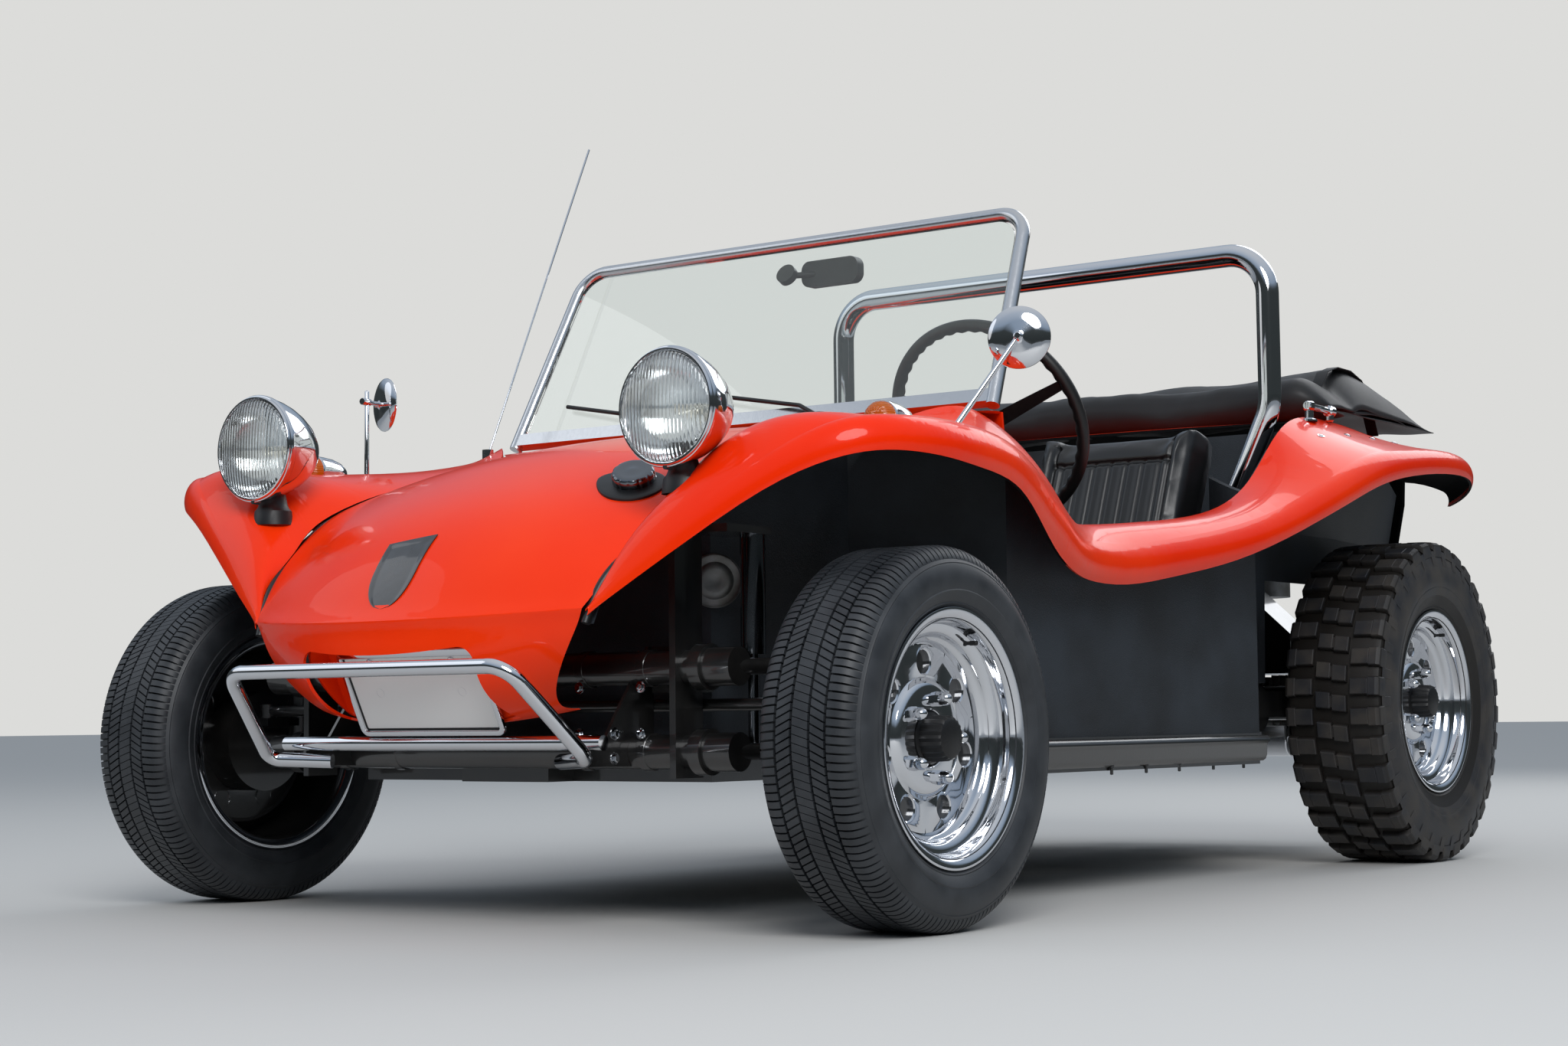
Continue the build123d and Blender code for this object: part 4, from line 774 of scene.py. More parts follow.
def makeIndicator(name, side):
    bm = bmesh.new()
    spinProfile(bm, indicator["shell"], 48, 0, axis=rearwards)
    spinProfile(bm, indicator["lens"], 48, 1, axis=rearwards)
    for vert in bm.verts:
        # the lens has 24 ribs round its middle
        ribbed = vert.co.y < 0.001 and vert.co.xz.length > 0.006
        if ribbed and round(math.atan2(vert.co.x, vert.co.z) * 24 / pi) % 2:
            vert.co.y -= 0.0011
    spinProfile(bm, indicator["stem"], 24, 0, centre=(0, 0.03, 0), axis=upwards)
    settle(bm, bm.verts, mirrored(indicator["centre"], side))
    finishPiece(name, bm, [chrome, amberLens], "turn_signals", sharp=40)


mirror = {
    "foot": at(0.665, 0.235, 0.783),
    "head": at(0.728, 0.335, 0.938),
    "post": 0.152,
    "turn": 23.0,
    "disc": [(-9, 0), (-9, 6), (-6.4, 8.2), (-5.6, 12), (-4.6, 26), (-1.6, 40), (2.4, 48.6), (6, 51.8),
             (8.4, 52), (10.4, 51), (10.6, 49.6), (9.4, 49), (9, 48.6)],
    "glass": [(9, 48.8), (9.2, 0)],
    "hub": [(-16, 0), (-16, 4.5), (-13, 5.6), (-9, 5.8), (-8, 4)],
    "boot": [(-16, 15), (-6, 15), (-3, 13), (4, 7.4), (6, 7), (8, 5)],
}


def makeMirror(name, side):
    # the left one leans out on its stalk; the right one hangs on a short arm at the top of a post
    foot = mirrored(mirror["foot"], side)
    post = Vector((0, 0, mirror["post"]))
    head = mirror["head"] if side > 0 else foot + post + Vector((-0.008, 0.046, 0))
    bm = bmesh.new()
    disc = []
    for part, steps, finish in (("disc", 56, 0), ("glass", 56, 1), ("hub", 20, 0)):
        disc += spinProfile(bm, mirror[part], steps, finish, axis=rearwards)
    turn = Matrix.Rotation(math.radians(mirror["turn"] * side), 3, "Z")
    settle(bm, disc, head + Vector((0, 0.002, 0)), turn)
    if side > 0:
        stalk = head - foot
        rod = [(-22, 5)] + outBy([(-8, 4.4), (-2, 6.5), (4, 6.5), (5, 0)], stalk.length * 1000)
        spinProfile(bm, rod, 20, centre=foot, axis=stalk)
    else:
        arm = head - foot - post
        reach = arm.length * 1000
        rod = [(-22, 5), (40, 4.6), (172, 4.4), (174, 3), (174.4, 0)]
        spinProfile(bm, rod, 20, centre=foot, axis=upwards)
        spinProfile(bm, [(-16, 0), (-16, 6), (-14, 7), (8, 7), (9, 4.5), (reach, 4.5)], 20,
                    centre=foot + post, axis=arm)
    spinProfile(bm, mirror["boot"], 28, 2, centre=foot, axis=upwards)
    finishPiece(name, bm, [chrome, mirrorGlass, blackAbs], "mirrors", sharp=36)


for sideName, side in sides:
    makeIndicator("indicator_" + sideName, side)
    makeMirror("wing_mirror_" + sideName, side)
print("indicators and mirrors made")


# surface finder: where a line meets a frame node
def surfaceOf(*names):
    bm = bmesh.new()
    for name in names:
        bm.from_mesh(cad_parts[name].data)
    tree = BVHTree.FromBMesh(bm)
    bm.free()
    return tree


def onSurface(tree, start, way):
    return tree.ray_cast(start, Vector(way))[0]


hoodSkin = surfaceOf("hood")


# seats: a crowned cushion and a leaning back with bolsters, filled by a pressure simulation
seat = {
    "x": 0.306,
    "width": 0.415,
    "cushionFront": 0.87,
    "cushionBack": 1.372,
    "cushionTop": 0.425,
    "panTop": 0.262,
    "backFoot": 1.320,
    "backHeight": 0.492,
    "backLow": 0.451,
    "lean": 22.0,
    "pleat": 0.038,
    "bolster": 0.072,
    "frames": 20,
    "pressure": 4.0,
    # the farthest that the filling may push a point
    "cap": 0.014,
    "voxel": 0.0075,
    # what the filling adds to a pad's width and height
    "swell": (0.016, 0.02),
    "bolsterRise": 0.026,
    # half width and depth of the seams between the pleats, beside the bolsters and at the pleats' ends
    "seam": (0.0036, 0.0048),
    "sideSeam": (0.006, 0.009),
    "endSeam": (0.006, 0.007),
    "pleatRise": 0.0016,
}


def makePadBlock(width, length, thick, crown):
    # a rounded block whose sides pull in between its corners
    bm = bmesh.new()
    bmesh.ops.create_cube(bm, size=1.0)
    bmesh.ops.subdivide_edges(bm, edges=bm.edges, cuts=9, use_grid_fill=True)
    for vert in bm.verts:
        u, v, w = vert.co * 2
        pull = 1 - 0.03 * (1 - v * v) if abs(u) > 0.9 else 1.0
        square = max(abs(u), abs(v)) ** 6
        vert.co.x = u * width / 2 * pull * (1 - 0.05 * square * abs(w))
        vert.co.y = v * length / 2 * (1 - 0.025 * (1 - u * u)) * (1 - 0.04 * square * abs(w))
        vert.co.z = w * thick / 2 * (1 + crown * (1 - u ** 4) * (1 - v ** 4) if w > 0 else 1)
    bmesh.ops.smooth_vert(bm, verts=bm.verts, factor=0.5, use_axis_x=True, use_axis_y=True, use_axis_z=True)
    return bm


def bolsterRise(x, width):
    # side rolls of a bucket seat stand proud of the pleated middle
    edge = (abs(x) - (width / 2 - seat["bolster"])) / seat["bolster"]
    return 0.0 if edge < 0 else math.sin(min(1.0, edge * 1.15) * pi / 2) * (1 - 0.35 * max(0.0, edge) ** 3)


def inflate(name, bm):
    scene = bpy.context.scene
    piece = linked(name, meshFrom(name, bm))
    remesh = piece.modifiers.new("voxels", "REMESH")
    remesh.mode = "VOXEL"
    remesh.voxel_size = seat["voxel"]
    bake(piece)
    before = [vert.co.copy() for vert in piece.data.vertices]
    cloth = piece.modifiers.new("filling", "CLOTH")
    cloth.settings.quality = 5
    cloth.settings.use_pressure = True
    cloth.settings.uniform_pressure_force = seat["pressure"]
    cloth.settings.effector_weights.gravity = 0
    cloth.settings.tension_stiffness = 12
    cloth.point_cache.frame_start = 1
    cloth.point_cache.frame_end = seat["frames"]
    for step in range(1, seat["frames"] + 1):
        scene.frame_set(step)
    bake(piece)
    for vert, old in zip(piece.data.vertices, before):
        move = vert.co - old
        if move.length > seat["cap"]:
            vert.co = old + move.normalized() * seat["cap"]
    scene.frame_set(1)
    return piece


def sunk(away, seam):
    half, depth = seam
    return depth * math.exp(-((away / half) ** 2))


def sewChannels(bm, width, low, high):
    # straight seams between the pleats, sunk after the filling
    inner = width / 2 - seat["bolster"]
    for vert in bm.verts:
        if vert.normal.z < 0.35:
            continue
        x, y = vert.co.x, vert.co.y
        if abs(x) < inner + 0.006 and low < y < high:
            phase = abs(x / seat["pleat"] - round(x / seat["pleat"])) * seat["pleat"]
            vert.co.z -= sunk(phase, seat["seam"])
            vert.co.z += seat["pleatRise"] * math.cos(min(phase / seat["pleat"] * 2, 1.0) * pi / 2)
        if low - 0.02 < y < high + 0.05:
            vert.co.z -= sunk(x - inner, seat["sideSeam"]) + sunk(x + inner, seat["sideSeam"])
        if abs(x) < inner:
            vert.co.z -= sunk(y - low, seat["endSeam"]) + sunk(y - high, seat["endSeam"])


def makePad(name, length, thick, crown, low, high):
    width, (swell, swellUp) = seat["width"], seat["swell"]
    bm = makePadBlock(width - swell, length - swell, thick - swellUp, crown)
    for vert in bm.verts:
        if vert.co.z > 0:
            rise = seat["bolsterRise"] * bolsterRise(vert.co.x, width - swell)
            vert.co.z += rise * min(1.0, vert.co.z / (thick / 2))
    piece = inflate(name, bm)
    refine(piece)
    bake(piece)
    bm = bmesh.new()
    bm.from_mesh(piece.data)
    bmesh.ops.recalc_face_normals(bm, faces=bm.faces)
    bm.normal_update()
    sewChannels(bm, width, low, high)
    old = piece.data
    bpy.data.objects.remove(piece)
    bpy.data.meshes.remove(old)
    return bm


cushionBm = makePad("cushion", seat["cushionBack"] - seat["cushionFront"],
                    seat["cushionTop"] - seat["panTop"], 0.08, -0.19, 0.2)
backBm = makePad("backrest", seat["backHeight"], 0.11, 0.06, -0.2, 0.15)
print("seat pads filled")


def placePad(source, name, place, node, turn=None):
    bm = source.copy()
    settle(bm, bm.verts, place, turn)
    piece = finishPiece(name, bm, [seatVinyl], sharp=80)
    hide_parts(node)


leant = Matrix.Rotation(math.radians(90 - seat["lean"]), 3, "X")
for sideName, side in sides:
    middle = at(side * seat["x"], (seat["cushionFront"] + seat["cushionBack"]) / 2,
                (seat["panTop"] + seat["cushionTop"]) / 2)
    placePad(cushionBm, "seat_cushion_" + sideName, middle, "seat_cushions")
    middle = at(side * seat["x"], seat["backFoot"], seat["backLow"])
    middle += leant @ Vector((0, seat["backHeight"] / 2, 0))
    placePad(backBm, "seat_back_" + sideName, middle, "seat_backs", leant)
cushionBm.free()
backBm.free()
print("seats made")


# the folded top: one cloth, rolled at the front and laid back in folds over its bows
softTop = {
    "halfWidth": 0.592,
    "steps": 96,
    "section": [(1905, 950), (1868, 944), (1838, 956), (1824, 984), (1828, 1014), (1850, 1036),
                (1884, 1044), (1918, 1036), (1944, 1026), (1968, 1032), (2000, 1054), (2050, 1074),
                (2110, 1079), (2180, 1072), (2250, 1054), (2330, 1026), (2400, 996), (2436, 976), (2432, 964),
                (2400, 960), (2330, 968), (2250, 980), (2170, 988), (2080, 990), (2010, 982), (1966, 974),
                (1950, 986), (1962, 1004), (1990, 1016), (2040, 1030), (2100, 1036), (2170, 1030),
                (2250, 1012), (2310, 996)],
    "thickness": 0.0022,
    "axis": (1.885, 0.992),
    "low": 0.943,
    "endHeight": 0.962,
}


def foldShift(vert):
    # where a point of the plain sheet goes: small waves in the roll, larger folds behind it, ends drawn in
    x, y, z = vert.co
    station = y - frontAxle.y
    middle, height = softTop["axis"]
    rolled = max(0.0, 1 - max(0.0, station - middle - 0.05) / 0.09)
    turn = math.atan2(z - height, station - middle)
    twist = noise.noise(Vector((x * 9 + turn * 1.1, turn * 1.6, 3.1)))
    fine = noise.noise(Vector((x * 26 + turn * 3.2, turn * 2.6, 7.7)))
    lay = noise.noise(Vector((x * 6.5 + y * 3, y * 9, z * 22)))
    crease = noise.noise(Vector((x * 17 - y * 9, y * 7 + x * 4, z * 30)))
    amount = rolled * (0.010 * twist + 0.0045 * fine) + (1 - rolled) * (0.012 * lay + 0.006 * crease)
    shift = vert.normal * amount
    shift.z += -0.008 * (1 - rolled) * math.cos(x * 7) + 0.006 * rolled * math.cos(x * 11)
    ends = max(0.0, (abs(x) - 0.5) / (softTop["halfWidth"] - 0.5))
    if ends:
        shift.z += (softTop["endHeight"] - z) * 0.86 * min(1.0, ends) ** 2.4
        shift.y += (2.1 - station) * 0.1 * min(1.0, ends) ** 3
        shift.y += rolled * 0.03 * ends ** 2
        shift.y += 0.05 * ends * max(0.0, (station - 2.25) / 0.18)
    return shift


def makeSoftTop():
    bm = bmesh.new()
    half, steps = softTop["halfWidth"], softTop["steps"]
    verts, edges = chainOf(bm, [at(-half, y / 1000, z / 1000) for y, z in softTop["section"]])
    for step in range(steps):
        verts, edges = extrudeEdges(bm, edges, (2 * half / steps, 0, 0))
    bmesh.ops.recalc_face_normals(bm, faces=bm.faces)
    bm.normal_update()
    for vert, shift in [(vert, foldShift(vert)) for vert in bm.verts]:
        vert.co += shift
        vert.co.z = max(vert.co.z, softTop["low"])
    for face in bm.faces:
        face.smooth = True
    area = sum(face.calc_area() for face in bm.faces)
    piece = linked("folded_top", meshFrom("folded_top", bm))
    refine(piece)
    wall = piece.modifiers.new("cloth_thickness", "SOLIDIFY")
    wall.thickness = softTop["thickness"]
    wall.offset = 0
    bake(piece)
    piece.data.materials.append(topVinyl)
    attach(piece, "root")
    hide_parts("soft_top")


makeSoftTop()
print("folded top made")


# steering wheel: a moulded rim with finger grips and three flat spokes
steering = {
    "centre": at(0.35, 0.86, 0.87),
    "axis": Vector((0, math.cos(math.radians(27)), math.sin(math.radians(27)))),
    "radius": 194.0,
    "grip": 12.5,
    "grips": 44,
    "boss": [(-44, 0), (-44, 26), (-18, 28), (-4, 30), (2, 29), (6, 25), (7.4, 18), (8, 0)],
    "button": [(6, 20), (9.6, 19), (11, 15), (11.4, 0)],
    "spokes": (90, 200, 340),
    "spokeSize": (0.172, 0.024, 0.0045),
}


def makeSteeringWheel():
    bm = bmesh.new()
    axis, centre = steering["axis"], steering["centre"]
    radius, grip = steering["radius"], steering["grip"]
    circle = [(grip * math.cos(k * pi / 8), radius + grip * math.sin(k * pi / 8)) for k in range(16)]
    rim = spinProfile(bm, circle, steering["grips"] * 6, 0, closed=True, centre=centre, axis=axis)
    across = Vector((1, 0, 0))
    up = axis.cross(across)
    for vert in rim:
        place = vert.co - centre
        angle = math.atan2(place.dot(up), place.dot(across))
        core = (across * math.cos(angle) + up * math.sin(angle)) * radius / 1000
        inward = max(0.0, -(place - core).normalized().dot(core.normalized()))
        dip = 0.5 - 0.5 * math.cos(angle * steering["grips"])
        vert.co -= (place - core) * 0.24 * inward * dip
    spinProfile(bm, steering["boss"], 48, 0, centre=centre, axis=axis)
    spinProfile(bm, steering["button"], 40, 1, centre=centre, axis=axis)
    length = steering["spokeSize"][0]
    for angle in steering["spokes"]:
        # a spoke narrows towards the rim and dips towards the boss
        spoke = bmesh.new()
        addBox(spoke, steering["spokeSize"], (0.105, 0, -0.003))
        long = [edge for edge in spoke.edges if edge.calc_length() > 0.1]
        bmesh.ops.subdivide_edges(spoke, edges=long, cuts=6)
        for vert in spoke.verts:
            share = (vert.co.x - 0.019) / length
            vert.co.y *= 1.25 - 0.5 * share
            vert.co.z -= 0.014 * (1 - share) ** 2
        turn = Matrix((across, up, axis)).transposed() @ Matrix.Rotation(math.radians(angle), 3, "Z")
        settle(spoke, spoke.verts, centre, turn)
        joinInto(bm, spoke)
    finishPiece("steering_wheel_moulded", bm, [blackAbs, chrome], "steering_wheel",
                "steering_wheel", sharp=44)


makeSteeringWheel()
print("steering wheel made")


# hood: the frame's own shell with its crease drawn up sharp across the nose
hoodCrease = {
    "middle": 0.478,
    "rise": 0.0855,
    "push": 0.0095,
    "reach": 0.016,
    "front": frontAxle.y - 0.26,
    "cuts": (-36, -27, -20, -14, -9, -5, -2, 0, 2, 5, 9, 14, 20, 27, 36),
}


def makeHood():
    # the crease is an arch: the shell is bent until it lies level, cut, drawn out and bent back
    bm = bmesh.new()
    bm.from_mesh(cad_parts["hood"].data)
    bmesh.ops.remove_doubles(bm, verts=bm.verts, dist=0.00005)
    middle, front = hoodCrease["middle"], hoodCrease["front"]
    for vert in bm.verts:
        vert.co.z -= hoodCrease["rise"] * vert.co.x ** 2
    for cut in hoodCrease["cuts"]:
        bmesh.ops.bisect_plane(bm, geom=bm.verts[:] + bm.edges[:] + bm.faces[:], dist=0.00001,
                               plane_co=(0, 0, middle + cut / 1000), plane_no=upwards)
    for vert in bm.verts:
        if vert.co.y < front:
            away = abs(vert.co.z - middle) / hoodCrease["reach"]
            share = min(1.0, (front - vert.co.y) / 0.03)
            vert.co.y -= hoodCrease["push"] * share * math.exp(-away ** 1.3)
        vert.co.z += hoodCrease["rise"] * vert.co.x ** 2
    bmesh.ops.remove_doubles(bm, verts=bm.verts, dist=0.00002)
    finishPiece("hood_shell", bm, [gelCoat], "hood", sharp=30)


makeHood()
print("hood made")


# number plate: a blank sheet in a chrome frame, with a black strip of painted shadow in the gap between them
plate = {
    "centre": at(0, -0.2995, 0.368),
    "lean": 26.2,
    "width": 0.313,
    "height": 0.150,
    "rim": 0.0095,
    "joint": 0.0028,
    "corner": 0.015,
    "raised": 0.0065,
    "screws": (0.089, 0.0545),
    "bar": (0.96, 0.016, 0.011),
}


def makePlate():
    bm = bmesh.new()
    width, height = plate["width"], plate["height"]
    bmesh.ops.create_grid(bm, x_segments=1, y_segments=1, size=0.5)
    bmesh.ops.scale(bm, verts=bm.verts, vec=(width, height, 1))
    roundOff(bm, bm.verts[:], plate["corner"], 5, "VERTICES")
    sheet = bm.faces[:]
    # the second inset is a flat black strip: painted shadow in the gap between the raised frame and the plate
    borders = [bmesh.ops.inset_region(bm, faces=sheet, thickness=plate[part], use_boundary=True,
                                      use_even_offset=True)["faces"] for part in ("rim", "joint")]
    for finish, border in enumerate(borders, start=1):
        for face in border:
            face.material_index = finish
    raised = bmesh.ops.extrude_face_region(bm, geom=borders[0])["geom"]
    settle(bm, vertsIn(raised), (0, 0, plate["raised"]))
    tops = facesIn(raised)
    edges = [edge for edge in bm.edges if sum(face in tops for face in edge.link_faces) == 1]
    roundOff(bm, edges, 0.0022, 3)
    across, high = plate["screws"]
    for x in (-across, across):
        head = [(0, 6.4), (1.6, 6.2), (2.6, 4.4), (2.9, 0)]
        spinProfile(bm, head, 20, 1, centre=(x, high, 0), axis=upwards)
        spinProfile(bm, [(-7.5, 8), (0.5, 8)], 16, 1, centre=(x, 0, 0), axis=upwards)
    # the bar along the plate's upper edge
    wide, deep, thick = plate["bar"]
    bar = addBox(bm, (width * wide, deep, thick), (0, height / 2 - 0.004, 0.003))
    paint(bar, 1)
    roundOff(bm, [edge for edge in bm.edges if edge.verts[0] in bar and edge.verts[1] in bar], 0.004, 3)
    settle(bm, bm.verts, plate["centre"], Matrix.Rotation(math.radians(90 + plate["lean"]), 3, "X"))
    finishPiece("plate_in_frame", bm, [plateWhite, chrome, blackAbs], "number_plate", sharp=36)


makePlate()


# badge: a blank black shield folded over the nose, with a raised border
badge = {
    "top": 0.610,
    "bottom": 0.497,
    "halfWidth": 0.047,
    "lift": 0.0016,
    "border": 0.0014,
    "shoulder": 0.52,
}


def makeBadge():
    bm = bmesh.new()
    bmesh.ops.create_grid(bm, x_segments=20, y_segments=26, size=1.0)
    shoulder = badge["shoulder"]
    for vert in bm.verts:
        u, v = vert.co.x, (vert.co.y + 1) / 2
        low = max(0.0, shoulder - v) / shoulder
        wide = badge["halfWidth"] * math.sqrt(max(0.0, 1 - low ** 2.2)) * (0.93 + 0.07 * v)
        high = badge["bottom"] + (badge["top"] - badge["bottom"]) * v + 0.006 * u * v
        outer = max(abs(u), abs(v - 0.5) * 2) if v > 0.5 else abs(u)
        lift = badge["lift"] + (badge["border"] if outer > 0.86 else 0.0)
        vert.co = onSurface(hoodSkin, at(u * wide, -0.8, high), rearwards) - Vector((0, lift, 0))
    bmesh.ops.remove_doubles(bm, verts=bm.verts, dist=0.0003)
    thicken(bm, 0.0012)
    finishPiece("nose_shield", bm, [badgeEnamel], sharp=28)


makeBadge()


# fuel filler: a dark cap with finger scallops on a rubber pad
filler = {
    "centre": at(0.300, -0.128, 0.686),
    "normal": Vector((0.28, -0.55, 0.79)).normalized(),
    "across": Vector((0.94, 0, -0.333)).normalized(),
    "padRadius": 52.0,
    "cap": [(5, 37), (9, 38), (12, 36), (13, 34), (15, 34.6), (27, 34.4), (31, 33), (33.4, 29), (34, 24),
            (33, 19), (33, 9), (34, 6), (34.6, 0)],
    "pad": [(-6, 1.0), (1.6, 1.0), (3.6, 0.985), (4.6, 0.95), (5.2, 0.88), (5.6, 0.6), (5.6, 0.0)],
}


def makeFiller():
    bm = bmesh.new()
    centre, up, across, size = filler["centre"], filler["normal"], filler["across"], filler["padRadius"]
    turn = Matrix((across, up.cross(across).normalized(), up)).transposed()
    back = turn.inverted()
    pad = spinProfile(bm, [(a, r * size) for a, r in filler["pad"]], 64, 0, axis=upwards)
    for vert in pad:
        # the pad is drawn out to a point at one end and laid on the hood
        point = max(0.0, -vert.co.x * 1000 / size)
        x = vert.co.x * (1.12 + 0.2 * point)
        y = vert.co.y * (1.02 - 0.25 * point * point) - 0.006
        place = onSurface(hoodSkin, centre + turn @ Vector((x, y, 0.06)), -up)
        vert.co = back @ (place - centre) + Vector((0, 0, vert.co.z))
    cap = spinProfile(bm, filler["cap"], 96, 1, axis=upwards)
    for vert in cap:
        # twelve scallops in the cap's side
        angle = math.atan2(vert.co.y, vert.co.x)
        if vert.co.xy.length > 0.031 and vert.co.z > 0.0135:
            vert.co.xy *= 1 - 0.045 * max(0.0, math.cos(angle * 12)) ** 3
    settle(bm, bm.verts, centre, turn)
    finishPiece("fuel_filler", bm, [blackAbs, darkChrome], "filler_cap", sharp=40)


makeFiller()
print("plate, shield and filler made")


# small fixings, set on the surfaces that carry them
fixings = {
    "snaps": [(0.662, 1.66), (0.668, 1.78), (0.664, 1.92), (0.655, 2.06), (0.64, 2.2)],
    "deckSnaps": [(-0.46, 2.3), (-0.23, 2.3), (0.0, 2.3), (0.23, 2.3), (0.46, 2.3)],
    "bolts": [(-0.125, 0.42), (-0.19, 0.30), (-0.19, 0.262), (-0.118, 0.262)],
    "above": 1.4,
}


def addScrew(bm, place, normal, size, finish=0, domed=False):
    # a hexagon head, or a domed one, with its washer
    washer = [(-1, size * 1.55), (0.9, size * 1.5), (1.0, size)]
    spinProfile(bm, washer, 20, finish, centre=place, axis=normal)
    if domed:
        head = [(0.8, size), (size * 0.3, size * 0.9), (size * 0.5, size * 0.55), (size * 0.56, 0)]
    else:
        head = [(0.8, size), (size * 0.75, size), (size * 0.9, size * 0.8), (size * 0.92, 0)]
    spinProfile(bm, head, 16 if domed else 6, finish, centre=place, axis=normal)


def addSnaps(bm, skin, spots):
    for x, station in spots:
        place, normal = skin.ray_cast(at(x, station, fixings["above"]), Vector(downwards))[:2]
        if place is not None:
            addScrew(bm, place, normal if normal.z >= 0 else -normal, 5.5, domed=True)


def makeFixings():
    bm = bmesh.new()
    for sideName, side in sides:
        snaps = [(side * x, station) for x, station in fixings["snaps"]]
        addSnaps(bm, surfaceOf("body_side_" + sideName), snaps)
        for station, z in fixings["bolts"]:
            addScrew(bm, at(side * 0.3065, station, z), (side, 0, 0), 6.5)
    addSnaps(bm, surfaceOf("rear_deck", "body_side_left", "body_side_right"), fixings["deckSnaps"])
    finishPiece("snaps_and_screws", bm, [chrome], sharp=34)


makeFixings()


# latches of the folded top: at each side a chrome post with a cross tube and its pin
latch = {
    "x": 0.603,
    "station": 1.735,
    "post": [(-2, 17), (2, 17), (4, 14), (6, 9.5), (22, 9), (26, 12.4), (38, 12.4), (41, 9), (42, 0)],
    "tube": [(0, 0), (0, 8), (2, 9.4), (24, 9.4), (26, 8), (104, 8), (106, 12), (126, 12), (129, 9),
             (129, 0)],
    "pin": [(-26, 6), (-22, 9), (6, 9), (9, 5), (9, 0)],
}


def makeLatches():
    bm = bmesh.new()
    for sideName, side in sides:
        skin = surfaceOf("body_side_" + sideName, "rear_deck")
        place = onSurface(skin, at(side * latch["x"], latch["station"], fixings["above"]), downwards)
        start = place + Vector((0, -0.012, 0.032))
        spinProfile(bm, latch["post"], 28, centre=place, axis=upwards)
        spinProfile(bm, latch["tube"], 28, centre=start, axis=(0, 1, -0.02))
        spinProfile(bm, latch["pin"], 20, centre=start + Vector((0, 0.116, 0)), axis=upwards)
    finishPiece("top_latches", bm, [chrome], sharp=36)


makeLatches()


# straps: flat webbing over the bundle, drawn round its section
strap = {
    "x": 0.52,
    "path": [(2.235, 0.948), (2.215, 0.985), (2.19, 1.03), (2.15, 1.066), (2.09, 1.082), (2.02, 1.083),
             (1.965, 1.068), (1.93, 1.03), (1.925, 0.985), (1.93, 0.95)],
    "step": 0.0065,
    "thickness": 0.002,
}


def makeStraps():
    for sideName, side in sides:
        bm = bmesh.new()
        verts, edges = chainOf(bm, [at(side * strap["x"], y, z) for y, z in strap["path"]])
        for step in range(4):
            verts, edges = extrudeEdges(bm, edges, (side * strap["step"], 0, 0))
        thicken(bm, strap["thickness"])
        finishPiece("top_strap_" + sideName, bm, [topVinyl], sharp=60)


makeStraps()
print("latches and straps made")


# sill flange with its studs, below the tub's sides
sill = {
    "front": 0.50,
    "rear": 1.40,
    "x": 0.637,
    "section": [(0.0, 0.278), (0.011, 0.277), (0.0155, 0.272), (0.0165, 0.267), (0.012, 0.263), (0.010, 0.258),
                (0.009, 0.240), (0.006, 0.232), (0.0, 0.228)],
    "steps": 12,
    "spread": 0.0012,
    "studs": [0.80, 0.93, 1.06, 1.20, 1.33],
    "stud": [(0, 5), (6, 5), (7, 3), (17, 3), (18, 0)],
}


def makeSills():
    for sideName, side in sides:
        bm = bmesh.new()
        x = sill["x"] - 0.014
        verts, edges = chainOf(bm, [at(side * (x + a), sill["front"], z) for a, z in sill["section"]], True)
        bmesh.ops.contextual_create(bm, geom=edges)
        cap = bm.faces[:]
        shift = (side * sill["spread"], (sill["rear"] - sill["front"]) / sill["steps"], 0)
        for step in range(sill["steps"]):
            made = bmesh.ops.extrude_face_region(bm, geom=cap)["geom"]
            bmesh.ops.delete(bm, geom=cap, context="FACES_ONLY")
            cap = facesIn(made)
            settle(bm, vertsIn(made), shift)
        for station in sill["studs"]:
            spot = at(side * (sill["x"] - 0.008), station, 0.232)
            spinProfile(bm, sill["stud"], 10, centre=spot, axis=downwards)
        finishPiece("sill_flange_" + sideName, bm, [blackEnamel], sharp=40)


makeSills()


# welt in the gap between the hood and each wing, on a flange
welt = {
    "points": [(0.355, -0.315, 0.470), (0.360, -0.300, 0.512), (0.371, -0.278, 0.548), (0.380, -0.250, 0.573),
               (0.379, -0.220, 0.595), (0.386, -0.190, 0.621), (0.393, -0.160, 0.647), (0.392, -0.130, 0.668),
               (0.384, -0.100, 0.682), (0.367, -0.050, 0.707), (0.342, 0.0, 0.722)],
    "radius": 0.0072,
    "sunk": 0.004,
    "depth": 0.012,
    "reach": 0.034,
    "lowReach": 0.006,
    "lowEnd": 0.56,
}


def makeBead(name, points, radius):
    # a round bead along a row of points
    curve = bpy.data.curves.new(name, "CURVE")
    curve.dimensions = "3D"
    curve.bevel_depth = radius
    curve.bevel_resolution = 4
    spline = curve.splines.new("NURBS")
    spline.points.add(len(points) - 1)
    for point, place in zip(spline.points, points):
        point.co = (*place, 1)
    spline.order_u = 3
    spline.use_endpoint_u = True
    bead = linked(name, curve)
    shape = bpy.data.meshes.new_from_object(bead)
    bpy.data.objects.remove(bead)
    bpy.data.curves.remove(curve)
    bm = bmesh.new()
    bm.from_mesh(shape)
    bpy.data.meshes.remove(shape)
    bmesh.ops.holes_fill(bm, edges=[edge for edge in bm.edges if len(edge.link_faces) == 1], sides=0)
    finishPiece(name, bm, [cableBlack], sharp=60)


